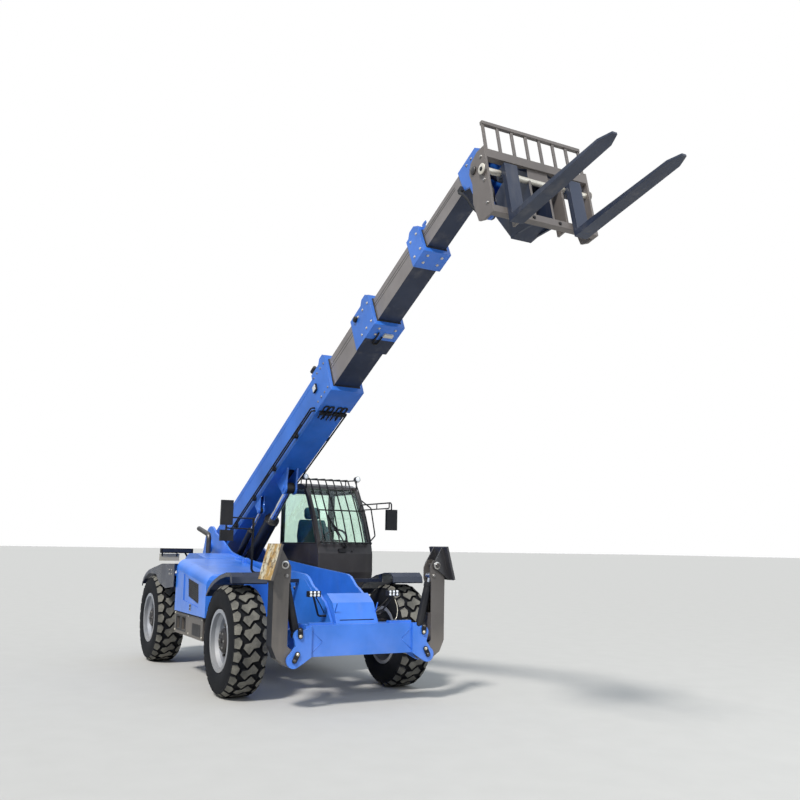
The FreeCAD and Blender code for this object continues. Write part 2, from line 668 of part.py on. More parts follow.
def hood_grille():
    """Plate behind the hood's opening with sloping slats."""
    y = HOOD_Y0 + RECESS_DEPTH
    (ax, az), (bx, bz), (cx, cz), (dx, dz) = GRILLE
    pieces = [prism_xz(GRILLE, y + 6, y + 10)]
    for i in range(SLATS):
        t = (i + 0.35) / SLATS
        t1 = (i + 0.8) / SLATS
        slat = [(ax + (dx - ax) * t, az + (dz - az) * t), (bx + (cx - bx) * t, bz + (cz - bz) * t),
                (bx + (cx - bx) * t1, bz + (cz - bz) * t1), (ax + (dx - ax) * t1, az + (dz - az) * t1)]
        pieces.append(prism_xz(slat, y, y + 7))
    return fuse(pieces)


FRONT_ARCH = [(-600, 1050), (-530, 1125), (-430, 1185), (-300, 1235), (-105, 1292), (130, 1330), (270, 1335),
              (335, 1290), (348, 1225)]
REAR_ARCH = [(-600, 1050), (-530, 1125), (-400, 1195), (-230, 1247), (42, 1290), (560, 1357)]
REAR_SKIRT = [(416, 1105), (228, 1210)]
FENDER_T = 12.0
FENDER_Y1 = OVERALL_W / 2 - FENDER_OVER_TYRE
FENDER_Y0 = FENDER_Y1 - FENDER_W
SKIRT_SHARE = 0.6473
LIP_DEPTH = 45.0


def fender(x, arch, skirt, upright_top):
    """Arched fender over one wheel, with its outer lip and its arm to the frame."""
    points = [(x + px, pz) for px, pz in arch]
    inner = [(px, pz - FENDER_T) for px, pz in reversed(points[1:-1])]
    (px0, pz0), (px1, pz1) = points[0], points[-1]
    shell = prism_xz(points + [(px1 - FENDER_T, pz1 - FENDER_T)] + inner + [(px0 + FENDER_T, pz0 - FENDER_T)],
                     FENDER_Y0, FENDER_Y1)
    if skirt:
        lower = [(x + px, pz) for px, pz in skirt] + [(px, pz - LIP_DEPTH) for px, pz in reversed(points[:4])]
    else:
        lower = [(px1 - LIP_DEPTH, pz1)]
        lower += [(px, pz - LIP_DEPTH) for px, pz in reversed(points[1:-2])]
        lower += [(px0 + LIP_DEPTH, pz0)]
    lip = prism_xz(points + lower, FENDER_Y1 - FENDER_T, FENDER_Y1)
    arm = box(x - 30, x + 30, FRAME_Y, FENDER_Y0 + 20, 1215, 1255)
    upright = box(x - 30, x + 30, FENDER_Y0, FENDER_Y0 + 20, 1215, upright_top)
    return fuse([shell, lip, arm, upright])


def fenders():
    axle_x = WHEELBASE / 2
    shapes = both_sides(fender(axle_x, FRONT_ARCH, [], 1300))
    right_end = HOOD_X0 - FENDER_HOOD_GAP
    left_end = CAB_X0 - FENDER_CAB_GAP
    for end, side in ((right_end, -1), (left_end, 1)):
        reach = end + axle_x
        arch = REAR_ARCH + [(reach, 1373)]
        shape = fender(-axle_x, arch, [(reach, 1073), (SKIRT_SHARE * reach, 1036)] + REAR_SKIRT, 1270)
        shapes.append(shape if side > 0 else mirrored(shape))
    return Part.makeCompound(shapes)


def roof_lamp(y, post_y):
    """Round lamp on a short post at the roof's front corner."""
    x, z = ROOF_LAMP_X, ROOF_LAMP_Z
    lamp = rod((x - 50, y, z), (x + 15, y, z), ROOF_LAMP_R)
    post = rod((x, post_y, z - ROOF_LAMP_R - 120), (x, post_y, z), 10)
    return cut(fuse([lamp, post]), [prism_xz(CAB_OUTLINE, CAB_Y0 - 100, CAB_Y1 + 100)])


def work_lamps():
    """Lamps on arms beside the front cover and lamps on the cab's roof."""
    shapes = []
    for side in (1, -1):
        root, elbow = (2470, side * (FRAME_Y + SMALL_GAP), 900), (2470, side * 370, 900)
        arm = bent_tube([root, elbow, (2560, side * 470, 1110)], 11, 40)
        y0, y1 = sorted((side * 400, side * 540))
        lamp = box(2535, 2595, y0, y1, 1105, 1165)
        shapes.append(fuse([arm, lamp]))
    shapes += [roof_lamp(CAB_Y0 - 2, CAB_Y0 + 14), roof_lamp(CAB_Y1 + 2, CAB_Y1 - 14)]
    return Part.makeCompound(shapes)


def exhaust_pipe():
    return bent_tube([(-1240, -500, 1500 + SMALL_GAP), (-1240, -500, 1765), (-1770, -500, 1860)], 35, 80)


def rear_lamp_bar():
    bar = box(-2230, -2170, -950, -460, 1490, 1560)
    arm = bent_tube([(-2200, -FRAME_Y, 1380), (-2200, -500, 1380), (-2200, -590, 1520)], 14, 40)
    return fuse([bar, arm])


def mirrors():
    shapes = []
    x = HOOD_X1 + MIRROR_POST_X
    head_x = x + 352
    post = bent_tube([(x, -FRAME_Y, 1300), (x, -620, 1300), (x, -620, 1960)], 14, 60)
    loop = bent_tube([(x, -620, 1820), (head_x, -1070, 1820), (head_x, -1070, 1945), (x, -620, 1945)], 9, 30)
    heads = [box(head_x - 22, head_x + 23, -1140, inner, z0, z1)
             for inner, z0, z1 in ((-1000, 1855, 2140), (-985, 1673, 1800))]
    stem = rod((head_x, -1070, 1790), (head_x, -1070, 1830), 10)
    shapes.append(fuse([post, loop, stem] + heads))
    y = CAB_Y1 - 22
    upper = bent_tube([(350, y, 2195), (1292, y, 2195), (1292, y, 2080)], 9, 40)
    lower = bent_tube([(390, y, 2125), (1230, y, 2125), (1230, y, 2190)], 8, 20)
    tie = rod((880, y, 2125), (880, y, 2195), 7)
    left_head = box(1270, 1315, y - 75, y + 76, 1844, 2106)
    left = cut(fuse([upper, lower, tie, left_head]), [prism_xz(CAB_OUTLINE, CAB_Y0, CAB_Y1)])
    shapes.append(left)
    return Part.makeCompound(shapes)


# Cab

CAB_OUTLINE = [
    (CAB_X0, CAB_FLOOR_Z), (CAB_X0, 2380), (CAB_X0 + 50, 2450), (-450, 2475), (60, 2475), (190, 2440),
    (330, 2300), (560, 1960), (690, 1690), (735, 1540), (740, 1300), (690, 1100), (600, CAB_FLOOR_Z),
]


def inset_outline(points, d):
    """Outline moved inward by d, straight edge by straight edge."""
    result = []
    count = len(points)
    for i in range(count):
        (x0, z0), (x1, z1), (x2, z2) = points[i - 1], points[i], points[(i + 1) % count]
        l0 = math.hypot(x1 - x0, z1 - z0)
        l1 = math.hypot(x2 - x1, z2 - z1)
        n0 = ((z1 - z0) / l0, -(x1 - x0) / l0)
        n1 = ((z2 - z1) / l1, -(x2 - x1) / l1)
        k = d / (1 + n0[0] * n1[0] + n0[1] * n1[1])
        result.append((x1 + (n0[0] + n1[0]) * k, z1 + (n0[1] + n1[1]) * k))
    return result


SIDE_WINDOW = [(-590, 1668), (-590, 2400), (165, 2400), (280, 2285), (508, 1945), (638, 1668)]
DOOR_OPENING = [(-560, 1060), (-560, 2400), (165, 2400), (280, 2285), (508, 1945), (630, 1690), (630, 1300),
                (430, 1060)]
DOOR_PANE = [(-512, 1690), (-512, 2352), (145, 2352), (245, 2255), (466, 1925), (575, 1690)]
PANE_Y0, PANE_Y1 = CAB_Y0 + 48, CAB_Y1 - 48


def cab_layer(d0, d1):
    """Closed layer of the cab's wall between two insets."""
    outer = prism_xz(inset_outline(CAB_OUTLINE, d0), CAB_Y0 + d0, CAB_Y1 - d0)
    inner = prism_xz(inset_outline(CAB_OUTLINE, d1), CAB_Y0 + d1, CAB_Y1 - d1)
    return cut(outer, [inner])


def window_cutters():
    right = prism_xz(SIDE_WINDOW, CAB_Y0 - 1, CAB_Y0 + CAB_WALL + 1)
    front = box(120, 900, PANE_Y0, PANE_Y1, SILL_Z + 18, 2400)
    roof = box(-400, 30, PANE_Y0 + 20, PANE_Y1 - 20, 2400, 2500)
    rear = box(-660, -560, PANE_Y0, PANE_Y1, SILL_Z + 20, 2370)
    return [right, front, roof, rear]


def cab_shell():
    door = prism_xz(DOOR_OPENING, CAB_Y1 - CAB_WALL - 1, CAB_Y1 + 1)
    shell = cut(cab_layer(0, CAB_WALL), window_cutters() + [door])
    return shell


def cab_base():
    below = box(-900, 900, 0, 1300, 0, SILL_Z)
    tub = cab_shell().common(below)
    brackets = [box(x, x + 120, FRAME_Y, CAB_Y0, 1010, 1120) for x in (-520, 380)]
    return fuse([tub] + brackets)


def cab_frame():
    above = box(-900, 900, 0, 1300, SILL_Z, 3000)
    return cab_shell().common(above)


def cab_glass():
    layer = cab_layer(GLASS_INSET, GLASS_INSET + GLASS_T)
    panes = []
    for cutter in window_cutters():
        panes += layer.common(cutter).Solids
    return Part.makeCompound(panes)


def door_window():
    return prism_xz(DOOR_PANE, CAB_Y1 - CAB_WALL - 1, CAB_Y1 + 1)


def cab_door():
    outline = inset_outline(DOOR_OPENING, DOOR_GAP)
    panel = prism_xz(outline, CAB_Y1 - 38, CAB_Y1)
    handle = rod((380, CAB_Y1 + 24, 1560), (480, CAB_Y1 + 24, 1560), 9)
    posts = [rod((x, CAB_Y1 - 2, 1560), (x, CAB_Y1 + 24, 1560), 7) for x in (390, 470)]
    hinges = [rod((-568, CAB_Y1 + 14, z - 40), (-568, CAB_Y1 + 14, z + 40), 11) for z in (1200, 1500, 2100)]
    ears = [box(-566, -520, CAB_Y1, CAB_Y1 + 14, z - 30, z + 30) for z in (1200, 1500, 2100)]
    return fuse([cut(panel, [door_window()]), handle] + posts + hinges + ears)


def door_glass():
    y = CAB_Y1 - GLASS_INSET
    return prism_xz(DOOR_PANE, y - GLASS_T, y)


def cab_guard():
    """Curved bars over the windscreen and the front of the roof."""
    bars = []
    first, last, count = CAB_Y0 + 50, CAB_Y1 - 50, 7
    for i in range(count):
        y = first + (last - first) * i / (count - 1)
        path = [(790, y, 1660), (745, y, 1760), (610, y, 2030), (385, y, 2360), (250, y, 2535), (-60, y, 2545)]
        bars.append(bent_tube(path, 9, 60))
    for x, z in ((782, 1680), (560, 2103), (-50, 2545)):
        bars.append(rod((x, first - 15, z), (x, last + 15, z), 9))
    feet = []
    for y in (first, last):
        feet.append(rod((690, y, 1690), (782, y, 1680), 8))
        feet.append(rod((-50, y, 2470), (-50, y, 2545), 8))
    out = CAB_Y1 + 53
    side = bent_tube([(455, last, 2257), (560, out, 2150), (700, out, 1777), (770, last, 1705)], 9, 40)
    return fuse(bars + feet + [side]).cut(prism_xz(CAB_OUTLINE, CAB_Y0, CAB_Y1))


def operator_seat():
    middle = (CAB_Y0 + CAB_Y1) / 2 + 10
    y0, y1 = middle - SEAT_W / 2, middle + SEAT_W / 2
    base = box(-380, -20, y0 + 60, y1 - 60, CAB_FLOOR_Z + CAB_WALL, 1330)
    cushion = box(-430, 60, y0, y1, 1330, 1450)
    back = prism_xz([(-430, 1450), (-300, 1450), (-400, 2010), (-500, 2010)], y0, y1)
    head = box(-490, -410, y0 + 120, y1 - 120, 2010, 2180)
    return fuse([base, cushion, back, head])


def driver_console():
    outline = [(420, CAB_FLOOR_Z + CAB_WALL), (680, 1100), (690, 1560), (560, 1640), (440, 1560)]
    dash = prism_xz(outline, CAB_Y0 + 120, CAB_Y1 - 120)
    dash = dash.common(prism_xz(inset_outline(CAB_OUTLINE, CAB_WALL), 400, 1100))
    column = rod((520, 760, 1560), (330, 760, 1700), 28)
    wheel = Part.makeTorus(180, 14, V(325, 760, 1705), V(-190, 0, 140))
    spoke = rod((325, 590, 1705), (325, 930, 1705), 10)
    shape = cut(dash, [box(300, 900, 0, 1200, 900, CAB_FLOOR_Z + CAB_WALL)])
    return fuse([shape, column, wheel, spoke])


# Boom

def section(s0, s1, w, h, wall):
    outer = box(s0, s1, -w / 2, w / 2, -h / 2, h / 2)
    inner = box(s0 - 1, s1 + 1, -w / 2 + wall, w / 2 - wall, -h / 2 + wall, h / 2 - wall)
    return cut(outer, [inner])


def ring(s0, s1, w, h, inner_w, inner_h):
    outer = box(s0, s1, -w / 2, w / 2, -h / 2, h / 2)
    inner = box(s0 - 1, s1 + 1, -inner_w / 2, inner_w / 2, -inner_h / 2, inner_h / 2)
    return cut(outer, [inner])


def collar(front, length, w, h):
    s0 = front - length
    sleeve = ring(s0, front, w + 2 * COLLAR_T, h + 2 * COLLAR_T, w, h)
    ears = []
    for side in (1, -1):
        y0, y1 = sorted((side * w / 2, side * (w / 2 + COLLAR_T)))
        top = h / 2 + COLLAR_T
        ears.append(prism_xz([(front - 200, top - 5), (front - 150, top + 50), (front - 60, top + 50),
                              (front, top - 5)], y0, y1))
    return fuse([sleeve] + ears)


def front_pads(front, wall_w, wall_h, w, h):
    return ring(front - PAD_L, front, wall_w, wall_h, w + 2 * PAD_GAP, h + 2 * PAD_GAP)


def rear_pads(rear, wall_w, wall_h, w, h):
    return ring(rear, rear + PAD_L, wall_w - 2 * PAD_GAP, wall_h - 2 * PAD_GAP, w, h)


def eye_lugs(s, n, half_gap, plate, root_n, y=0.0, reach=55.0, root=170.0):
    """Pair of round-ended plates on the boom's underside with end caps over the pin's ends."""
    shapes = []
    end = [(s + reach * math.cos(a * RAD), n + reach * math.sin(a * RAD)) for a in range(0, -181, -20)]
    for side in (1, -1):
        y0, y1 = sorted((y + side * half_gap, y + side * (half_gap + plate)))
        shapes.append(prism_xz([(s - root, root_n), (s + root, root_n)] + end, y0, y1))
        cap0, cap1 = sorted((y + side * (half_gap + plate), y + side * (half_gap + plate + 12)))
        shapes.append(rod((s, cap0, n), (s, cap1, n), 36))
    return shapes


def eye_slot(s, y, half, back, front):
    """Cutter for the slot with a round front end in the boom's underside, where a rod's eye swings in."""
    low, high = -OUTER_H / 2 - 1, -OUTER_H / 2 + BOOM_WALL + 1
    return fuse([box(s - back, s + front - half, y - half, y + half, low, high),
                 rod((s + front - half, y, low), (s + front - half, y, high), half)])


def boom_outer():
    wall = BOOM_WALL
    tube = section(-BOOM_TAIL, OUTER_FRONT, OUTER_W, OUTER_H, wall)
    pads = front_pads(OUTER_FRONT, OUTER_W - 2 * wall, OUTER_H - 2 * wall, STAGE2_W, STAGE2_H)
    half = FRAME_Y - FRAME_T - SIDE_GAP
    pivot = rod((0, -half, 0), (0, half, 0), 90)
    cheeks = both_sides(prism_xz(
        [(-200, -150), (-200, 150), (260, 180), (700, 60), (700, -120), (260, -190)],
        OUTER_W / 2 - 1, OUTER_W / 2 + 25))
    sleeve = collar(OUTER_FRONT, OUTER_COLLAR_L, OUTER_W, OUTER_H)
    lugs = eye_lugs(LIFT_EYE_S, LIFT_EYE_N, 56, 24, -OUTER_H / 2 + 1, reach=85, root=210)
    lugs += eye_lugs(LEVEL_EYE_S, LEVEL_EYE_N, 21, 11, -OUTER_H / 2 + 1, y=LEVEL_Y, reach=46, root=130)
    slots = [eye_slot(LIFT_EYE_S, 0, 54, 270, 170), eye_slot(LEVEL_EYE_S, LEVEL_Y, 20.5, 160, 100)]
    shape = fuse([tube, pads, pivot, sleeve] + cheeks + lugs)
    shape = cut(shape, [rod((0, -half - 1, 0), (0, half + 1, 0), PIVOT_PIN_R + RUN_GAP)] + slots)
    return on_boom(shape)


def boom_pipes():
    shapes = []
    for side in (1, -1):
        wall_y = side * OUTER_W / 2
        y = side * (OUTER_W / 2 + 45)
        pipes = []
        low = -OUTER_H / 2
        for n in (low + 75, low + 35):
            pipes.append(bent_tube([(760, wall_y, n), (760, y, n), (4000, y, n), (4000, wall_y, n)], 10, 30))
        y0, y1 = sorted((wall_y, side * (OUTER_W / 2 + 47)))
        clamps = [box(s, s + 40, y0, y1, low + 20, low + 90) for s in (1000, 1800, 2600, 3400)]
        shapes.append(fuse(pipes + clamps))
    return on_boom(Part.makeCompound(shapes))


def boom_stage_2():
    rear = STAGE2_FRONT - STAGE2_L
    tube = section(rear, STAGE2_FRONT, STAGE2_W, STAGE2_H, STAGE_WALL)
    inner_w, inner_h = OUTER_W - 2 * BOOM_WALL, OUTER_H - 2 * BOOM_WALL
    own_w, own_h = STAGE2_W - 2 * STAGE_WALL, STAGE2_H - 2 * STAGE_WALL
    pads = [rear_pads(rear, inner_w, inner_h, STAGE2_W, STAGE2_H),
            front_pads(STAGE2_FRONT, own_w, own_h, STAGE3_W, STAGE3_H)]
    return on_boom(fuse([tube, collar(STAGE2_FRONT, STAGE2_COLLAR_L, STAGE2_W, STAGE2_H)] + pads))


def boom_stage_3():
    rear = STAGE3_FRONT - STAGE3_L
    tube = section(rear, STAGE3_FRONT, STAGE3_W, STAGE3_H, STAGE_WALL)
    inner_w, inner_h = STAGE2_W - 2 * STAGE_WALL, STAGE2_H - 2 * STAGE_WALL
    own_w, own_h = STAGE3_W - 2 * STAGE_WALL, STAGE3_H - 2 * STAGE_WALL
    pads = [rear_pads(rear, inner_w, inner_h, STAGE3_W, STAGE3_H),
            front_pads(STAGE3_FRONT, own_w, own_h, STAGE4_W, STAGE4_H)]
    return on_boom(fuse([tube, collar(STAGE3_FRONT, STAGE3_COLLAR_L, STAGE3_W, STAGE3_H)] + pads))


def boom_stage_4():
    rear = STAGE4_FRONT - STAGE4_L
    tube = section(rear, STAGE4_FRONT, STAGE4_W, STAGE4_H, STAGE_WALL)
    inner_w, inner_h = STAGE3_W - 2 * STAGE_WALL, STAGE3_H - 2 * STAGE_WALL
    return on_boom(fuse([tube, rear_pads(rear, inner_w, inner_h, STAGE4_W, STAGE4_H)]))


def boom_head():
    """Dropped head: two side plates, their cross plates and the tilt pins."""
    half, up = STAGE4_W / 2, STAGE4_H / 2
    s, n = HEAD_PIVOT_S, HEAD_PIVOT_N
    outline = [(STAGE4_FRONT - 120, -up - 10), (STAGE4_FRONT - 120, up + 6), (s + 93, up + 6),
               (s + 163, 20), (s + 123, -300), (s + 78, n + 30)]
    for a in range(0, -181, -30):
        outline.append((s + 78 * math.cos(a * RAD), n + 78 * math.sin(a * RAD)))
    outline += [(STAGE4_FRONT - 20, -380), (STAGE4_FRONT - 30, -up - 60)]
    plates = both_sides(prism_xz(outline, half, half + HEAD_PLATE_T))
    top = box(STAGE4_FRONT - 110, STAGE4_FRONT + 130, -half, half, up, up + 8)
    back = box(STAGE4_FRONT - 5, STAGE4_FRONT + 12, -half, half, -480, -up - 20)
    pin = rod((s, -half - HEAD_PLATE_T - 35, n), (s, half + HEAD_PLATE_T + 35, n), HEAD_PIN_R)
    tilt = rod((TILT_BASE_S, -half - 30, TILT_BASE_N), (TILT_BASE_S, half + 30, TILT_BASE_N), 20)
    return on_boom(fuse(plates + [top, back, pin, tilt]))


def fork_carriage():
    inner = CARRIAGE_Y - CARRIAGE_PLATE_T
    face, top, bottom = CARRIAGE_FACE, CARRIAGE_TOP, CARRIAGE_BOTTOM
    side = [(face, top), (face - 100, top + 5), (face - 200, top - 40), (face - 240, top - 120),
            (face - 215, top - 230), (face - 240, top - 400), (face - 200, bottom + 30), (face - 130, bottom)]
    side.append((face, bottom))
    parts = both_sides(prism_xz(side, inner, CARRIAGE_Y))
    parts.append(box(face - 60, face, -inner - 1, inner + 1, 70, 150))
    parts.append(box(face - 60, face, -inner - 1, inner + 1, bottom, bottom + 60))
    rib = [(face - 150, 150), (face - 10, 150), (face - 10, -10), (face - 100, -10), (face - 100, -60),
           (face - 10, -60), (face - 10, bottom + 10), (face - 150, bottom + 10)]
    for y in (-235, 215):
        parts.append(prism_xz(rib, y, y + 20))
    half = STAGE4_W / 2 - SIDE_GAP - 20
    arm = []
    for a in range(120, 301, 30):
        arm.append((75 * math.cos(a * RAD), 75 * math.sin(a * RAD)))
    arm += [(200, -375), (face - 20, bottom + 5), (face - 20, 140), (250, 175), (60, 90)]
    arms = both_sides(prism_xz(arm, half, half + 20))
    arms = [cut(a, [rod((0, -400, 0), (0, 400, 0), HEAD_PIN_R + RUN_GAP)]) for a in arms]
    u, v = TILT_EYE_U, TILT_EYE_V
    eye_plate = [(u - 60, v - 40), (u - 30, v + 50), (u + 30, v + 55), (face - 20, 140), (face - 20, 0),
                 (u + 60, -60)]
    lugs = both_sides(prism_xz(eye_plate, TILT_LUG_Y, TILT_LUG_Y + TILT_LUG_T))
    web = box(face - 30, face - 20, -half - 5, half + 5, -40, 140)
    floor = box(200, face - 20, -half - 20, half + 20, -392, -370)
    shaft = rod((SHAFT_U, -CARRIAGE_Y - 15, SHAFT_V), (SHAFT_U, CARRIAGE_Y + 15, SHAFT_V), SHAFT_R)
    caps = both_sides(rod((SHAFT_U, CARRIAGE_Y, SHAFT_V), (SHAFT_U, CARRIAGE_Y + 18, SHAFT_V), 45))
    return on_carriage(fuse(parts + arms + lugs + [web, floor, shaft] + caps))


def load_backrest():
    depth = 22.0
    u1 = CARRIAGE_FACE
    half = CARRIAGE_Y - CARRIAGE_PLATE_T
    bars = [box(u1 - 32, u1, -half, half, BACKREST_TOP - 30, BACKREST_TOP)]
    for i in range(BACKREST_BARS):
        y = -half + 12 + (2 * half - 24) * i / (BACKREST_BARS - 1)
        bars.append(box(u1 - depth, u1 - 6, y - 12, y + 12, 150, BACKREST_TOP - 20))
    return on_carriage(fuse(bars))


def forks():
    back = CARRIAGE_FACE + SMALL_GAP
    shapes = []
    for y in (FORK_Y, -FORK_Y):
        y0, y1 = y - FORK_W / 2, y + FORK_W / 2
        top = FORK_BOTTOM_V + FORK_T
        tip, low = FORK_TIP_U, FORK_BOTTOM_V
        taper = back + FORK_T + 150
        blade = prism_xz([(back, low), (tip, low), (tip, low + FORK_TIP_T), (taper, top), (back, top)], y0, y1)
        noses = []
        for edge, side in ((y0, 1), (y1, -1)):
            corner = [(tip + 1, edge - side), (tip + 1, edge + side * 42), (tip - 110, edge - side)]
            noses.append(prism_xy(corner, low - 95, low + 105))
        blade = cut(blade, noses)
        shank = box(back, back + FORK_T, y0, y1, FORK_BOTTOM_V, 10)
        hook = box(SHAFT_U - 45, back + 1, y0 + 15, y1 - 15, SHAFT_V - 45, SHAFT_V + 42)
        hook = cut(hook, [rod((SHAFT_U, -900, SHAFT_V), (SHAFT_U, 900, SHAFT_V), SHAFT_R + RUN_GAP)])
        shapes.append(fuse([blade, shank, hook]))
    return on_carriage(Part.makeCompound(shapes))


# Cylinders. Each one: (base point, eye point, sizes) drawn along X, then turned.

class Cylinder:
    """Sizes along the axis are measured from the base pin."""

    def __init__(self, base, eye, barrel_l, rod_l, barrel_r, rod_r, pin_r, eye_w, eye_pin_r):
        self.base, self.eye = base, eye
        self.barrel_l, self.rod_l = barrel_l, rod_l
        self.barrel_r, self.rod_r = barrel_r, rod_r
        self.pin_r, self.eye_w, self.eye_pin_r = pin_r, eye_w, eye_pin_r
        self.length = math.hypot(eye[0] - base[0], eye[1] - base[1])
        self.angle = math.atan2(eye[1] - base[1], eye[0] - base[0]) / RAD

    def place(self, shape, y):
        shape.rotate(V(0, 0, 0), V(0, 1, 0), -self.angle)
        shape.translate(V(self.base[0], y, self.base[1]))
        return shape

    def barrel(self, y=0.0):
        wall = self.barrel_r * 0.16
        start = self.pin_r * 1.6 + 24
        tube = rod((start, 0, 0), (self.barrel_l, 0, 0), self.barrel_r)
        gland_l = min(40.0, self.barrel_r * 0.6)
        bore = rod((start + 20, 0, 0), (self.barrel_l - gland_l, 0, 0), self.barrel_r - wall)
        way = rod((start, 0, 0), (self.barrel_l + 20, 0, 0), self.rod_r + ROD_GAP)
        gland = rod((self.barrel_l - 45, 0, 0), (self.barrel_l, 0, 0), self.barrel_r * 1.12)
        half = self.eye_w / 2
        eye = rod((0, -half, 0), (0, half, 0), self.pin_r * 1.8)
        neck = box(0, start + 5, -half * 0.9, half * 0.9, -self.pin_r * 1.4, self.pin_r * 1.4)
        pin = rod((0, -half - 1, 0), (0, half + 1, 0), self.pin_r + RUN_GAP)
        back = box(start, start + 20, -1, 1, -1, 1)
        shape = cut(fuse([tube, gland, eye, neck, back]), [bore, pin])
        return self.place(cut(shape, [way.cut(rod((0, 0, 0), (start + 20, 0, 0), 500))]), y)

    def rod_piece(self, y=0.0):
        end = self.length - self.rod_l
        shaft = rod((end, 0, 0), (self.length - self.eye_pin_r, 0, 0), self.rod_r)
        piston = rod((end, 0, 0), (end + min(45.0, self.barrel_r * 0.7), 0, 0), self.barrel_r * 0.84 - ROD_GAP)
        half = self.eye_w / 2
        eye = rod((self.length, -half, 0), (self.length, half, 0), self.eye_pin_r * 1.9)
        return self.place(fuse([shaft, piston, eye]), y)


LIFT = Cylinder(LIFT_BASE, boom_point(LIFT_EYE_S, LIFT_EYE_N), 1910, 1820, 90, 50, 38, 100, 38)
LEVEL = Cylinder(LEVEL_BASE, boom_point(LEVEL_EYE_S, LEVEL_EYE_N), 1380, 1300, 42, 18, 20, 40, 20)
TILT_BASE, TILT_EYE = boom_point(TILT_BASE_S, TILT_BASE_N), carriage_point(TILT_EYE_U, TILT_EYE_V)
TILT = Cylinder(TILT_BASE, TILT_EYE, 486, 455, 45, 25, 20, 100, 20)
STAB = Cylinder(STAB_CYL_PIN, STAB_EYE, 534, 529, 45, 24, STAB_PIN_R, 90, 20)


# Stabilizers, drawn for the left side in the plane across the machine

def across(shape):
    """Turn a shape drawn in the X-Z plane so that its X runs along Y at the legs."""
    shape.rotate(V(0, 0, 0), V(0, 0, 1), 90)
    shape.translate(V(STAB_X, 0, 0))
    return shape


def stabilizer_leg():
    y0, z0 = LEG_PIN
    outer = LEG_OUTER_Y
    outline = [(715, 470), (735, 440), (770, 430), (830, 440), (945, 520), (outer - 5, 640), (outer, 1330),
               (975, 1480), (925, 1505), (860, 1495), (820, 1420), (820, 1300), (835, 1250), (835, 640),
               (705, 535)]
    x0, x1 = STAB_X - STAB_HALF_W, STAB_X + STAB_HALF_W
    t = LEG_PLATE_T
    cheeks = [prism_yz(outline, x0, x0 + t), prism_yz(outline, x1 - t, x1)]
    web = [(outer - 20, 640), (outer - 5, 640), (outer, 1330), (outer - 15, 1330)]
    outer_web = prism_yz(web, x0 + t, x1 - t)
    lower_web = prism_yz([(830, 440), (945, 520), (outer - 5, 640), (outer - 20, 645), (935, 532), (822, 455)],
                         x0 + t, x1 - t)
    inner_web = box(x0 + t, x1 - t, 835, 850, 640, 930)
    boss = rod((x0, y0, z0), (x1, y0, z0), 62)
    shape = fuse(cheeks + [outer_web, lower_web, inner_web, boss])
    holes = []
    for (y, z), r in ((LEG_PIN, LEG_PIN_R), (FOOT_PIN, FOOT_PIN_R)):
        holes.append(rod((x0 - 1, y, z), (x1 + 1, y, z), r + RUN_GAP))
    caps = []
    for a, b in ((x0 - 4, x0), (x1, x1 + 4)):
        caps.append(rod((a, STAB_EYE[0], STAB_EYE[1]), (b, STAB_EYE[0], STAB_EYE[1]), 26))
    return fuse([cut(shape, holes)] + caps)


def stabilizer_foot():
    (ty, tz), (by, bz) = FOOT_TOP, FOOT_BOTTOM
    length = math.hypot(by - ty, bz - tz)
    iy, iz = (bz - tz) / length, -(by - ty) / length
    inner_low, inner_top = (by + iy * FOOT_T, bz + iz * FOOT_T), (ty + iy * FOOT_T, tz + iz * FOOT_T)
    pad = prism_yz([(ty, tz), (by, bz), inner_low, inner_top], STAB_X - FOOT_W / 2, STAB_X + FOOT_W / 2)
    fy, fz = FOOT_PIN
    gusset = [(ty + iy * 20, tz + iz * 20), (by + iy * 20, bz + iz * 20), (fy + 10, fz - 52),
              (fy - 35, fz - 38), (fy - 50, fz + 10), (fy - 30, fz + 45)]
    gap = STAB_HALF_W + 6
    plates = [prism_yz(gusset, x, x + 16) for x in (STAB_X + gap, STAB_X - gap - 16)]
    pin = rod((STAB_X - gap - 28, fy, fz), (STAB_X + gap + 28, fy, fz), FOOT_PIN_R)
    return fuse([pad, pin] + plates)


def export(name, shape):
    shape = shape.copy()
    shape.translate(V(-ORIGIN_X, 0, 0))
    shape.exportStep("parts/" + name + ".step")


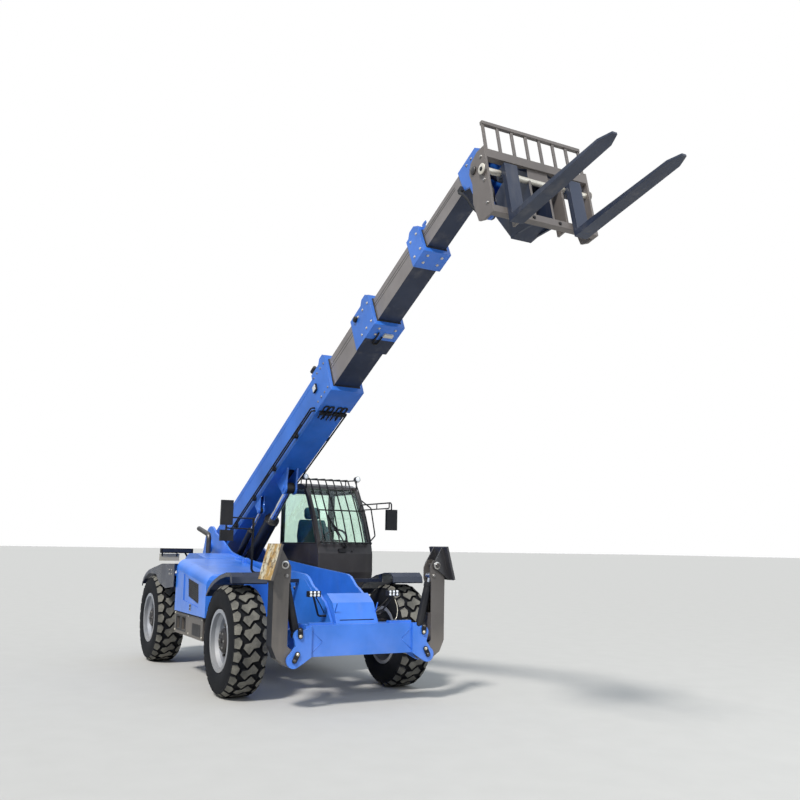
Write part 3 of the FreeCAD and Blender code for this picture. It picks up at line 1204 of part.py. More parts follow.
def main():
    os.makedirs("parts", exist_ok=True)
    nodes = {
        "chassis_frame": chassis_frame(),
        "front_frame": front_frame(),
        "keeper_plates": keeper_plates(),
        "counterweight": counterweight(),
        "axle_housings": Part.makeCompound([axle(WHEELBASE / 2), axle(-WHEELBASE / 2)]),
        "engine_block": engine_block(),
        "rear_housing": rear_housing(),
        "side_boxes": side_boxes(),
        "engine_hood": engine_hood(),
        "hood_grille": hood_grille(),
        "fenders": fenders(),
        "work_lamps": work_lamps(),
        "exhaust_pipe": exhaust_pipe(),
        "rear_lamp_bar": rear_lamp_bar(),
        "mirrors": mirrors(),
        "cab_base": cab_base(),
        "cab_frame": cab_frame(),
        "cab_glass": cab_glass(),
        "cab_guard": cab_guard(),
        "cab_door": cab_door(),
        "door_glass": door_glass(),
        "operator_seat": operator_seat(),
        "driver_console": driver_console(),
        "boom_outer": boom_outer(),
        "boom_pipes": boom_pipes(),
        "boom_stage_2": boom_stage_2(),
        "boom_stage_3": boom_stage_3(),
        "boom_stage_4": boom_stage_4(),
        "boom_head": boom_head(),
        "fork_carriage": fork_carriage(),
        "load_backrest": load_backrest(),
        "forks": forks(),
    }
    for name, (x, side) in WHEELS.items():
        pieces = {"tyre_": tyre(x), "rim_": rim(x), "knuckle_": knuckle(x)}
        for prefix, shape in pieces.items():
            nodes[prefix + name] = shape if side > 0 else mirrored(shape)
    for name, cylinder, y in (("lift", LIFT, 0.0), ("level", LEVEL, LEVEL_Y), ("tilt", TILT, 0.0)):
        nodes[name + "_barrel"] = cylinder.barrel(y)
        nodes[name + "_rod"] = cylinder.rod_piece(y)
    for name, flip in (("left", False), ("right", True)):
        pieces = {
            "stabilizer_leg_": stabilizer_leg(),
            "stabilizer_foot_": stabilizer_foot(),
            "stabilizer_barrel_": across(STAB.barrel()),
            "stabilizer_rod_": across(STAB.rod_piece()),
        }
        for prefix, shape in pieces.items():
            nodes[prefix + name] = mirrored(shape) if flip else shape
    for name, shape in nodes.items():
        export(name, shape)


main()
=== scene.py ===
import json
import math

import bpy
from mathutils import Matrix, Vector

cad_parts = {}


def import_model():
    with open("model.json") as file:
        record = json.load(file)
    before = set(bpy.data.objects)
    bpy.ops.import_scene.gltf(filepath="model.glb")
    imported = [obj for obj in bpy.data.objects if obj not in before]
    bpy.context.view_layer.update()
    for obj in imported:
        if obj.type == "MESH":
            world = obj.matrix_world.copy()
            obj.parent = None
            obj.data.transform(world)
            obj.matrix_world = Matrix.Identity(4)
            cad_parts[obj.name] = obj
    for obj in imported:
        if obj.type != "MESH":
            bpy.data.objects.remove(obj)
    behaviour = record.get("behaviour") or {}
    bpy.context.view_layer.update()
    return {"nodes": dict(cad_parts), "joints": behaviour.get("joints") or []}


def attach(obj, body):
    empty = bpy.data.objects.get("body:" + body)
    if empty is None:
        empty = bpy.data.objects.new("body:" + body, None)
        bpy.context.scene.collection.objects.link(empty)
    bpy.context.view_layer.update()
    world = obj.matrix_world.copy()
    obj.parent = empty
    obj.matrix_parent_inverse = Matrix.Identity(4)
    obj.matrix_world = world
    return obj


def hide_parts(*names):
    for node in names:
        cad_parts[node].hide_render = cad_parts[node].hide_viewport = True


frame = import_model()
NODES = frame["nodes"]
link = bpy.context.scene.collection.objects.link

# Everything below is placed in the machine's own frame: metres, X forward from the middle
# between the axles, Y to the left, Z up. SHIFT takes it to the shared frame.
PIVOT_X, PIVOT_Z = -1.9, 1.6076
PIVOT_POS = next(j["pos_m"] for j in frame["joints"] if j["name"] == "boom_lift")
SHIFT = Vector((PIVOT_POS[0] - PIVOT_X, 0.0, 0.0))
SIDES = ((1, "left"), (-1, "right"))
AXLE_X, WHEEL_Y, WHEEL_R = 1.655, 1.005, 0.595
ENDS = (("front", AXLE_X), ("rear", -AXLE_X))
WHEELS = [(end + "_" + word, x, side) for end, x in ENDS for side, word in SIDES]

# The boom's frame: s along it from its pivot, y to the left, n up from its axis
BOOM_PIVOT = Vector((PIVOT_X, 0.0, PIVOT_Z))
BOOM_ANGLE = math.radians(26.31)
BOOM_COS, BOOM_SIN = math.cos(BOOM_ANGLE), math.sin(BOOM_ANGLE)
BOOM_SIDE = 0.185
# Half height and half width of each sliding section, front of each collar and its length
SECTION = {"stage_2": (0.178, 0.158), "stage_3": (0.140, 0.130), "stage_4": (0.104, 0.104)}
COLLAR_FRONT = {"boom": 4.523, "stage_2": 5.673, "stage_3": 6.772}
COLLAR_LENGTH = {"stage_2": 0.47, "stage_3": 0.24}
COLLAR_WALL = 0.0245

# The carriage's frame: u forward, y to the left, v up from the head's pin
HEAD_S, HEAD_N = 7.737, -0.598
FORK_PITCH = math.radians(13.0)
SHAFT_U, SHAFT_V = 0.512, -0.03
BOSS_U, BOSS_V = 0.385, 0.045
CARRIAGE_SIDE = 0.5252

# Outer faces of the frame's plates, the hood, the fenders' plates and the step box, and the cab's middle
FRAME_SIDE, HOOD_SIDE, FENDER_SIDE = 0.2802, 1.1502, 1.1802
BOX_SIDE, BOX_RECESS = 1.1202, 1.09
CAB_Y = 0.76
# Pins of a stabilizer's lug, each with the second bolt of its keeper plate: across and up
LUG_FACE = 2.8435
LUG_PINS = (((0.770, 0.500), (-0.030, 0.062)), ((0.715, 0.735), (0.004, 0.062)))


# Materials

class Tree:
    """Node tree of one material, with short ways to add and join nodes."""

    def __init__(self, name):
        self.material = bpy.data.materials.new(name)
        self.material.use_nodes = True
        self.tree = self.material.node_tree
        self.tree.nodes.clear()
        self.out = self.add("ShaderNodeOutputMaterial")
        self.coords = self.add("ShaderNodeTexCoord").outputs["Object"]

    def add(self, kind, **values):
        node = self.tree.nodes.new(kind)
        for key, value in values.items():
            setattr(node, key, value)
        return node

    def put(self, socket, value):
        if isinstance(value, bpy.types.NodeSocket):
            self.tree.links.new(value, socket)
        elif hasattr(socket.default_value, "__len__") and not hasattr(value, "__len__"):
            socket.default_value = (value,) * len(socket.default_value)
        else:
            socket.default_value = value

    def noise(self, scale, detail=3.0, rough=0.55, stretch=None):
        coords = self.coords
        if stretch:
            mapping = self.add("ShaderNodeMapping")
            self.put(mapping.inputs["Vector"], coords)
            mapping.inputs["Scale"].default_value = stretch
            coords = mapping.outputs["Vector"]
        node = self.add("ShaderNodeTexNoise")
        self.put(node.inputs["Vector"], coords)
        for key, number in (("Scale", scale), ("Detail", detail), ("Roughness", rough)):
            node.inputs[key].default_value = number
        return node.outputs["Fac"]

    def cells(self, scale):
        """Distance to the nearest of many scattered points."""
        node = self.add("ShaderNodeTexVoronoi")
        self.put(node.inputs["Vector"], self.coords)
        node.inputs["Scale"].default_value = scale
        return node.outputs["Distance"]

    def remap(self, value, a, b, c=0.0, d=1.0):
        node = self.add("ShaderNodeMapRange", interpolation_type="SMOOTHSTEP")
        self.put(node.inputs["Value"], value)
        for key, number in (("From Min", a), ("From Max", b), ("To Min", c), ("To Max", d)):
            node.inputs[key].default_value = number
        return node.outputs["Result"]

    def math(self, kind, a, b=0.0):
        node = self.add("ShaderNodeMath", operation=kind)
        self.put(node.inputs[0], a)
        self.put(node.inputs[1], b)
        return node.outputs[0]

    def mix(self, fac, a, b):
        node = self.add("ShaderNodeMix", data_type="RGBA")
        self.put(node.inputs["Factor"], fac)
        self.put(node.inputs[6], a)
        self.put(node.inputs[7], b)
        return node.outputs[2]

    def axis(self, index):
        node = self.add("ShaderNodeSeparateXYZ")
        self.put(node.inputs[0], self.coords)
        return node.outputs[index]

    def upward(self):
        geometry = self.add("ShaderNodeNewGeometry")
        split = self.add("ShaderNodeSeparateXYZ")
        self.put(split.inputs[0], geometry.outputs["Normal"])
        return split.outputs[2]

    def edges(self, radius):
        """1 along sharp edges, 0 on flat faces."""
        bevel = self.add("ShaderNodeBevel", samples=4)
        bevel.inputs["Radius"].default_value = radius
        geometry = self.add("ShaderNodeNewGeometry")
        dot = self.add("ShaderNodeVectorMath", operation="DOT_PRODUCT")
        self.put(dot.inputs[0], bevel.outputs["Normal"])
        self.put(dot.inputs[1], geometry.outputs["Normal"])
        return self.remap(dot.outputs["Value"], 0.985, 0.88)

    def surface(self, color, rough, metal=0.0, coat=0.0, bump=None, strength=0.2, distance=0.002,
                round_r=0.004, shine=0.5):
        shader = self.add("ShaderNodeBsdfPrincipled")
        shader.inputs["Specular IOR Level"].default_value = shine
        self.put(shader.inputs["Base Color"], color)
        self.put(shader.inputs["Roughness"], rough)
        self.put(shader.inputs["Metallic"], metal)
        self.put(shader.inputs["Coat Weight"], coat)
        shader.inputs["Coat Roughness"].default_value = 0.12
        normal = None
        if round_r:
            bevel = self.add("ShaderNodeBevel", samples=4)
            bevel.inputs["Radius"].default_value = round_r
            normal = bevel.outputs["Normal"]
        if bump is not None:
            node = self.add("ShaderNodeBump")
            self.put(node.inputs["Height"], bump)
            node.inputs["Strength"].default_value = strength
            node.inputs["Distance"].default_value = distance
            if normal is not None:
                self.put(node.inputs["Normal"], normal)
            normal = node.outputs["Normal"]
        if normal is not None:
            self.put(shader.inputs["Normal"], normal)
        self.put(self.out.inputs["Surface"], shader.outputs["BSDF"])
        return self.material


def rgb(r, g, b):
    """Colour of a display value from 0 to 255 as the renderer's linear one."""
    def linear(v):
        v /= 255.0
        return v / 12.92 if v <= 0.04045 else ((v + 0.055) / 1.055) ** 2.4
    return (linear(r), linear(g), linear(b), 1.0)


DUST = rgb(176, 166, 150)


def paint(name, color, rough=0.38, coat=0.35, dust=0.22, low=0.0, wear_and_highlight=0.35, wear_and_highlight_color=rgb(70, 66, 62),
          metal=0.0, streak=0.10, shine=0.5):
    """Sprayed paint: uneven tone, rain streaks, dust on top and low down, chipped edges (also a painted edge
    highlight where the wear colour is lighter than the paint), orange peel.
    """
    t = Tree(name)
    dark = tuple(c * 0.84 for c in color[:3]) + (1.0,)
    light = tuple(min(1.0, c * 1.1 + 0.008) for c in color[:3]) + (1.0,)
    tone = t.mix(t.remap(t.noise(1.6, 5.0), 0.3, 0.7), dark, light)
    streaks = t.remap(t.noise(7.0, 4.0, stretch=(1.0, 1.0, 0.12)), 0.52, 0.78, 0.0, streak)
    tone = t.mix(streaks, tone, DUST)
    patches = t.noise(3.1, 6.0, 0.6)
    top = t.math("MULTIPLY", t.remap(t.upward(), 0.35, 0.95), t.remap(patches, 0.36, 0.68, 0.15, 1.0))
    dusty = t.math("MULTIPLY", top, dust)
    if low:
        ground = t.math("MULTIPLY", t.remap(t.axis(2), 0.95, 0.35), t.remap(patches, 0.3, 0.66, 0.2, 1.0))
        dusty = t.math("MAXIMUM", dusty, t.math("MULTIPLY", ground, low))
    tone = t.mix(dusty, tone, DUST)
    # Chipped edges in the wear colour; where that colour is lighter than the paint it is also a painted
    # highlight along the edges
    chips_and_edge_highlight = t.math("MULTIPLY", t.edges(0.006), t.remap(t.noise(26.0, 5.0), 0.5, 0.62))
    chips_and_edge_highlight = t.math("MULTIPLY", chips_and_edge_highlight, wear_and_highlight)
    tone = t.mix(chips_and_edge_highlight, tone, wear_and_highlight_color)
    fine = t.noise(240.0, 2.0)
    roughness = t.remap(patches, 0.3, 0.7, rough - 0.06, rough + 0.08)
    roughness = t.math("ADD", roughness, t.math("MULTIPLY", dusty, 0.5))
    return t.surface(tone, roughness, metal, coat, fine, 0.12, 0.0008, shine=shine)


def rubber(name, color, dust):
    """Tyre rubber with dry dust, more of it on the tread's top faces."""
    t = Tree(name)
    patches = t.noise(5.0, 6.0, 0.62)
    fine = t.noise(90.0, 4.0)
    mask = t.math("MULTIPLY", t.remap(patches, 0.32, 0.70, 0.25, 1.0), dust)
    mask = t.math("MULTIPLY", mask, t.remap(fine, 0.3, 0.7, 0.7, 1.0))
    tone = t.mix(mask, color, rgb(140, 138, 130))
    roughness = t.remap(patches, 0.3, 0.7, 0.72, 0.9)
    return t.surface(tone, roughness, 0.0, 0.0, fine, 0.35, 0.0015, 0.003, 0.15)


def steel(name, color, rough, rust=0.0):
    """Bare metal with fine grain, darker patches and some rust."""
    t = Tree(name)
    patches = t.noise(9.0, 5.0)
    fine = t.noise(160.0, 3.0)
    tone = t.mix(t.remap(patches, 0.35, 0.7, 0.0, 0.3), color, rgb(120, 118, 114))
    if rust:
        tone = t.mix(t.remap(t.noise(21.0, 6.0, 0.65), 0.55, 0.72, 0.0, rust), tone, rgb(108, 74, 48))
    roughness = t.remap(fine, 0.3, 0.7, rough - 0.08, rough + 0.12)
    return t.surface(tone, roughness, 0.95, 0.0, fine, 0.1, 0.0006, 0.002)


def plastic(name, color, rough, dust=0.2, bump=0.25):
    """Dull plastic with a little dust on its upper faces."""
    t = Tree(name)
    patches = t.noise(4.0, 5.0)
    fine = t.noise(300.0, 2.0)
    mask = t.remap(t.upward(), 0.2, 0.95, 0.25, 1.0)
    mask = t.math("MULTIPLY", mask, t.remap(patches, 0.35, 0.7, 0.1, 1.0))
    tone = t.mix(t.math("MULTIPLY", mask, dust), color, DUST)
    roughness = t.remap(patches, 0.3, 0.7, rough - 0.06, rough + 0.1)
    return t.surface(tone, roughness, 0.0, 0.0, fine, bump, 0.0006, 0.003, 0.25)


def glass(name):
    """Thin tinted pane: see-through, with a clear reflection and a light film of dust."""
    t = Tree(name)
    clear = t.add("ShaderNodeBsdfTransparent")
    t.put(clear.inputs["Color"], (0.90, 0.975, 0.93, 1.0))
    gloss = t.add("ShaderNodeBsdfGlossy")
    t.put(gloss.inputs["Roughness"], 0.02)
    t.put(gloss.inputs["Color"], (0.9, 0.95, 1.0, 1.0))
    film = t.add("ShaderNodeBsdfDiffuse")
    t.put(film.inputs["Color"], rgb(190, 200, 198))
    facing = t.add("ShaderNodeLayerWeight")
    t.put(facing.inputs["Blend"], 0.5)
    share = t.math("ADD", t.math("MULTIPLY", t.math("POWER", facing.outputs["Facing"], 5.0), 0.8), 0.03)
    first = t.add("ShaderNodeMixShader")
    t.put(first.inputs[0], share)
    t.put(first.inputs[1], clear.outputs[0])
    t.put(first.inputs[2], gloss.outputs[0])
    second = t.add("ShaderNodeMixShader")
    t.put(second.inputs[0], t.remap(t.noise(6.0, 5.0), 0.4, 0.75, 0.005, 0.04))
    t.put(second.inputs[1], first.outputs[0])
    t.put(second.inputs[2], film.outputs[0])
    t.put(t.out.inputs["Surface"], second.outputs[0])
    return t.material


def worn_plate(name):
    """Ground plate worn through its pale paint to ochre and brown metal."""
    t = Tree(name)
    coarse = t.noise(9.0, 6.0, 0.65, stretch=(1.0, 1.0, 0.5))
    fine = t.noise(45.0, 5.0, 0.6)
    tone = t.mix(t.remap(coarse, 0.42, 0.56), rgb(206, 200, 178), rgb(176, 142, 84))
    tone = t.mix(t.remap(t.noise(14.0, 6.0, 0.7), 0.50, 0.60, 0.0, 0.9), tone, rgb(104, 84, 60))
    tone = t.mix(t.remap(fine, 0.56, 0.66, 0.0, 0.5), tone, rgb(86, 80, 74))
    tone = t.mix(t.math("MULTIPLY", t.edges(0.012), 0.8), tone, rgb(92, 76, 58))
    return t.surface(tone, t.remap(fine, 0.3, 0.7, 0.5, 0.75), 0.2, 0.0, fine, 0.4, 0.002, shine=0.3)


def fabric(name, color):
    """Woven cover with a fine raised pattern."""
    t = Tree(name)
    weave = t.cells(420.0)
    patches = t.noise(7.0, 5.0)
    dark = tuple(c * 0.62 for c in color[:3]) + (1.0,)
    tone = t.mix(t.remap(patches, 0.35, 0.7), dark, color)
    return t.surface(tone, 0.85, 0.0, 0.0, weave, 0.3, 0.001, 0.0)


def lamp_lens(name, color=rgb(236, 240, 244)):
    """Ribbed lamp cover."""
    t = Tree(name)
    return t.surface(color, 0.12, 0.25, 0.6, t.cells(70.0), 0.5, 0.003, 0.0)


BLUE = paint("blue_paint", rgb(46, 118, 222), dust=0.14, low=0.15, streak=0.05)
# The boom's blue is BLUE made about a tenth darker: painted shade on the boom, with less dust and fewer
# streaks
SHADED_BOOM_BLUE = paint("boom_blue_painted_shade", rgb(42, 108, 204), dust=0.08, streak=0.03)
STAGE = paint("stage_paint", rgb(120, 115, 114), rough=0.42, coat=0.15, dust=0.2,
              wear_and_highlight_color=rgb(160, 158, 154))
# Dark navy: painted shade on the sliding sections' undersides, behind the carriage and under the second
# stage's collar; also the navy strip on the rear lamp bar
NAVY_AND_PAINTED_SHADE = paint("navy_and_painted_shade", rgb(30, 40, 62), rough=0.42, coat=0.1, dust=0.03, wear_and_highlight=0.15, shine=0.3)
CREAM = paint("shaft_cream", rgb(205, 200, 188), rough=0.35, metal=0.3, dust=0.15)
CARRIAGE = paint("carriage_paint", rgb(98, 92, 89), rough=0.45, coat=0.1, wear_and_highlight_color=rgb(170, 165, 158))
LEG = paint("leg_paint", rgb(82, 78, 76), rough=0.45, coat=0.1, low=0.2, wear_and_highlight_color=rgb(160, 152, 140))
FORK = paint("fork_paint", rgb(33, 43, 64), rough=0.4, coat=0.2, dust=0.1, wear_and_highlight=0.3,
             wear_and_highlight_color=rgb(96, 98, 104), shine=0.35)
PANEL = paint("cab_panel_paint", rgb(44, 41, 44), rough=0.34, coat=0.15, dust=0.06, wear_and_highlight=0.05,
              streak=0.03, shine=0.3)
# The left foot in a darker grey than the right one: painted shade
LEFT_FOOT_SHADE = paint("left_foot_painted_shade", rgb(50, 50, 54), rough=0.4, coat=0.15, dust=0.15,
                  wear_and_highlight_color=rgb(150, 146, 138))
# Dark navy for the stabilizer legs' outer side faces: painted shade
LEG_SIDE_SHADE = paint("leg_side_painted_shade", rgb(24, 28, 38), rough=0.45, coat=0.0, dust=0.05, wear_and_highlight=0.1, streak=0.02,
              shine=0.2)
DARK = plastic("black_plastic", rgb(22, 24, 30), 0.42, 0.1)
GLOSSY = paint("fender_paint", rgb(24, 34, 56), rough=0.3, coat=0.12, dust=0.05, wear_and_highlight=0.03, streak=0.02,
               shine=0.3)
SHADE = plastic("inner_dark", rgb(34, 34, 36), 0.6)
HOSE = plastic("hose_rubber", rgb(18, 18, 20), 0.45, 0.1, 0.2)
RUBBER = rubber("tyre_rubber", rgb(13, 16, 23), dust=0.045)
TREAD = rubber("tread_rubber", rgb(70, 70, 68), dust=0.85)
SILVER = paint("rim_silver", rgb(150, 155, 164), rough=0.38, coat=0.1, metal=0.4, low=0.3, wear_and_highlight=0.2)
HUB = paint("hub_dark", rgb(26, 28, 36), rough=0.5, coat=0.0, low=0.1, dust=0.03, streak=0.03, shine=0.2)
CHROME = steel("chrome_rod", rgb(222, 226, 232), 0.12)
BRIGHT = steel("bright_steel", rgb(186, 184, 180), 0.34)
BOLT = steel("bolt_steel", rgb(150, 148, 146), 0.4, rust=0.3)
DARK_STEEL = steel("dark_steel", rgb(84, 82, 82), 0.45, rust=0.25)
GLASS = glass("cab_glass")
TEAL = fabric("seat_fabric", rgb(24, 78, 92))
LENS = lamp_lens("lamp_lens")
AMBER = lamp_lens("amber_lens", rgb(214, 120, 30))
RED = lamp_lens("red_lens", rgb(168, 28, 24))
MIRROR = steel("mirror_face", rgb(210, 214, 220), 0.1)
VALVE = paint("valve_block", rgb(196, 190, 172), rough=0.4, metal=0.3)
WORN = worn_plate("worn_sole")
DISH_SHADE = paint("rim_dish_painted_shade", rgb(104, 110, 122), rough=0.42, coat=0.05, metal=0.4, low=0.2, wear_and_highlight=0.1)


# Materials of the construction pieces

LOOKS = (
    (BLUE, "chassis_frame front_frame counterweight rear_housing engine_hood"),
    (SHADED_BOOM_BLUE, "boom_outer boom_head"), (STAGE, "boom_stage_2 boom_stage_3 boom_stage_4"),
    (CARRIAGE, "fork_carriage load_backrest"), (FORK, "forks"), (GLOSSY, "fenders"),
    (LEG, "side_boxes stabilizer_leg_left stabilizer_leg_right stabilizer_foot_right"),
    (LEFT_FOOT_SHADE, "stabilizer_foot_left"), (PANEL, "cab_base cab_frame cab_door"),
    (GLASS, "cab_glass door_glass"), (TEAL, "operator_seat"), (SHADE, "engine_block"),
    (HOSE, "boom_pipes"), (DARK_STEEL, "axle_housings exhaust_pipe"),
    (DARK, "keeper_plates hood_grille work_lamps rear_lamp_bar mirrors cab_guard driver_console"),
    (DARK, "lift_barrel level_barrel tilt_barrel stabilizer_barrel_left stabilizer_barrel_right"),
)
LOOK_OF = {name: look for look, names in LOOKS for name in names.split()}
LOOK_OF_KIND = {"rim": SILVER, "knuckle": DARK_STEEL, "tyre": RUBBER}
for name, node in NODES.items():
    look = LOOK_OF.get(name) or LOOK_OF_KIND.get(name.split("_")[0], CHROME)
    node.data.materials.clear()
    node.data.materials.append(look)


def split_material(name, look, test):
    """Give the faces whose centre and normal pass the test a second material."""
    mesh = NODES[name].data
    mesh.materials.append(look)
    index = len(mesh.materials) - 1
    for face in mesh.polygons:
        if test(face.center - SHIFT, face.normal):
            face.material_index = index


def boom_coords(p):
    """Along the boom's axis, across it and up from it."""
    d = p - BOOM_PIVOT
    return d.x * BOOM_COS + d.z * BOOM_SIN, d.y, d.z * BOOM_COS - d.x * BOOM_SIN


for body in SECTION:
    # Undersides of the sliding sections in dark navy: painted shade
    split_material("boom_" + body, NAVY_AND_PAINTED_SHADE, lambda p, n: n.z * BOOM_COS - n.x * BOOM_SIN < -0.7)
    if body in COLLAR_LENGTH:
        back = COLLAR_FRONT[body] - COLLAR_LENGTH[body] - 0.002
        split_material("boom_" + body, SHADED_BOOM_BLUE, lambda p, n, back=back: boom_coords(p)[0] > back)


def carriage_coords(p):
    """Forward, across and up in the carriage's own directions from the head's pin."""
    along, y, up = boom_coords(p)
    along, up = along - HEAD_S, up - HEAD_N
    c, s = math.cos(BOOM_ANGLE - FORK_PITCH), math.sin(BOOM_ANGLE - FORK_PITCH)
    return along * c - up * s, y, along * s + up * c


def on_shaft(p):
    u, y, v = carriage_coords(p)
    return abs(y) < 0.5 and math.hypot(u - SHAFT_U, v - SHAFT_V) < 0.027


def shade_behind_carriage(p):
    u, y, v = carriage_coords(p)
    return abs(y) < 0.17 and u < 0.53 and not on_shaft(p)


split_material("fork_carriage", CREAM, lambda p, n: on_shaft(p))
# Middle of the carriage, behind its face, in dark navy: painted shade
split_material("fork_carriage", NAVY_AND_PAINTED_SHADE, lambda p, n: shade_behind_carriage(p))
# The legs' outer side faces in dark navy: painted shade
for side, word in SIDES:
    split_material("stabilizer_leg_" + word, LEG_SIDE_SHADE, lambda p, n: abs(n.y) > 0.6 and abs(p.y) > 0.9)
split_material("stabilizer_foot_right", WORN, lambda p, n: n.y < -0.8)
split_material("side_boxes", SHADE, lambda p, n: abs(p.y + BOX_RECESS) < 0.004)
# The painted eye of a rod is what lies near its end face, the one farthest from its barrel
for rod, reach in (("lift", 0.14), ("level", 0.11), ("tilt", 0.09)):
    barrel = [face.center for face in NODES[rod + "_barrel"].data.polygons]
    middle = sum(barrel, Vector()) / len(barrel)
    eye = max((face.center for face in NODES[rod + "_rod"].data.polygons), key=lambda c: (c - middle).length)
    eye = eye - SHIFT
    split_material(rod + "_rod", DARK, lambda p, n, c=eye.copy(), r=reach: (p - c).length < r)
# The rim's dish in a darker bluish grey than the rim: painted shade inside the rim; its hub is dark
for wheel, x, side in WHEELS:
    for look, reach in ((DISH_SHADE, 0.262), (HUB, 0.19)):
        split_material("rim_" + wheel, look,
                       lambda p, n, x=x, r=reach: math.hypot(p.x - x, p.z - WHEEL_R) < r)


# Camera, light and floor

def camera():
    """The photo's place, direction and angle of view, with the focal length in its pixels."""
    focal, pixels, sensor = 865.76, 800.0, 36.0
    data = bpy.data.cameras.new("photo_camera")
    data.sensor_width = sensor
    data.lens = focal / pixels * sensor
    data.clip_start = 0.1
    cam = bpy.data.objects.new("photo_camera", data)
    yaw, pitch, roll = 2.6427, 0.1684, 0.0166
    ahead = Vector((math.cos(pitch) * math.cos(yaw), math.cos(pitch) * math.sin(yaw), math.sin(pitch)))
    right = Vector((math.sin(yaw), -math.cos(yaw), 0.0))
    up = right.cross(ahead)
    right, up = (right * math.cos(roll) + up * math.sin(roll), up * math.cos(roll) - right * math.sin(roll))
    turn = Matrix((right, up, -ahead)).transposed()
    cam.matrix_world = Matrix.Translation(Vector((11.1556, -4.1575, 1.6338)) + SHIFT) @ turn.to_4x4()
    link(cam)
    bpy.context.scene.camera = cam


def area_light(name, place, target, size, power, color):
    data = bpy.data.lights.new(name, "AREA")
    data.shape = "DISK"
    data.size = size
    data.energy = power
    data.color = color
    light = bpy.data.objects.new(name, data)
    light.location = Vector(place) + SHIFT
    aim = Vector(target) + SHIFT - light.location
    light.rotation_euler = aim.to_track_quat("-Z", "Y").to_euler()
    link(light)


def sun(place, strength, spread, color):
    """Distant light, the same over the whole floor."""
    data = bpy.data.lights.new("sun", "SUN")
    data.energy = strength
    data.angle = math.radians(spread)
    data.color = color
    light = bpy.data.objects.new("sun", data)
    light.rotation_euler = (-Vector(place)).to_track_quat("-Z", "Y").to_euler()
    link(light)


def world():
    """White to the camera, a soft pale sky to everything else, darker towards the ground in reflections."""
    scene_world = bpy.data.worlds.new("studio")
    bpy.context.scene.world = scene_world
    scene_world.use_nodes = True
    tree = scene_world.node_tree
    tree.nodes.clear()
    new, join = tree.nodes.new, tree.links.new
    out = new("ShaderNodeOutputWorld")
    sky = new("ShaderNodeBackground")
    plain = new("ShaderNodeBackground")
    mix = new("ShaderNodeMixShader")
    path = new("ShaderNodeLightPath")
    coords = new("ShaderNodeTexCoord")
    split = new("ShaderNodeSeparateXYZ")
    join(coords.outputs["Generated"], split.inputs[0])

    def ramp(*stops):
        node = new("ShaderNodeValToRGB")
        join(split.outputs[2], node.inputs["Fac"])
        elements = node.color_ramp.elements
        while len(elements) < len(stops):
            elements.new(0.5)
        for element, (position, color) in zip(elements, stops):
            element.position = position
            element.color = color
        return node

    diffuse = ramp((0.0, (0.50, 0.49, 0.47, 1)), (0.75, (0.80, 0.90, 1.0, 1)))
    mirrored = ramp((0.0, (0.26, 0.27, 0.30, 1)), (0.15, (0.42, 0.46, 0.52, 1)), (0.5, (1.7, 1.8, 1.95, 1)))
    either = new("ShaderNodeMix")
    either.data_type = "RGBA"
    join(path.outputs["Is Glossy Ray"], either.inputs[0])
    join(diffuse.outputs["Color"], either.inputs[6])
    join(mirrored.outputs["Color"], either.inputs[7])
    join(either.outputs[2], sky.inputs["Color"])
    sky.inputs["Strength"].default_value = 0.62
    plain.inputs["Color"].default_value = (1, 1, 1, 1)
    plain.inputs["Strength"].default_value = 1.0
    seen = new("ShaderNodeMath")
    seen.operation = "MAXIMUM"
    join(path.outputs["Is Camera Ray"], seen.inputs[0])
    join(path.outputs["Is Transmission Ray"], seen.inputs[1])
    join(seen.outputs[0], mix.inputs[0])
    join(sky.outputs[0], mix.inputs[1])
    join(plain.outputs[0], mix.inputs[2])
    join(mix.outputs[0], out.inputs["Surface"])


def floor():
    bpy.ops.mesh.primitive_plane_add(size=600.0, location=(0, 0, -0.002))
    plane = bpy.context.object
    plane.name = "studio_floor"
    t = Tree("floor_pale")
    fine = t.noise(3.0, 6.0)
    tone = t.mix(fine, (0.50, 0.495, 0.48, 1), (0.55, 0.545, 0.53, 1))
    plane.data.materials.append(t.surface(tone, 0.8, round_r=0.0))


bpy.context.scene.view_settings.view_transform = "Standard"
camera()
world()
floor()
sun((0.62, -0.78, 1.10), 3.3, 9.0, (1.0, 0.965, 0.91))
area_light("fill", (12.0, 5.0, 5.0), (1.0, 0.0, 1.5), 6.0, 220.0, (0.88, 0.94, 1.0))


# Building helpers for the added pieces

def ring_faces(rings, sides):
    """Walls between closed rings of points, and a cap on each end."""
    faces = []
    for k in range(rings - 1):
        for i in range(sides):
            j = (i + 1) % sides
            faces.append((k * sides + i, k * sides + j, (k + 1) * sides + j, (k + 1) * sides + i))
    faces.append(tuple(reversed(range(sides))))
    faces.append(tuple(range((rings - 1) * sides, rings * sides)))
    return faces


def around(count):
    """Angles of evenly spaced points round a circle."""
    return [2 * math.pi * i / count for i in range(count)]


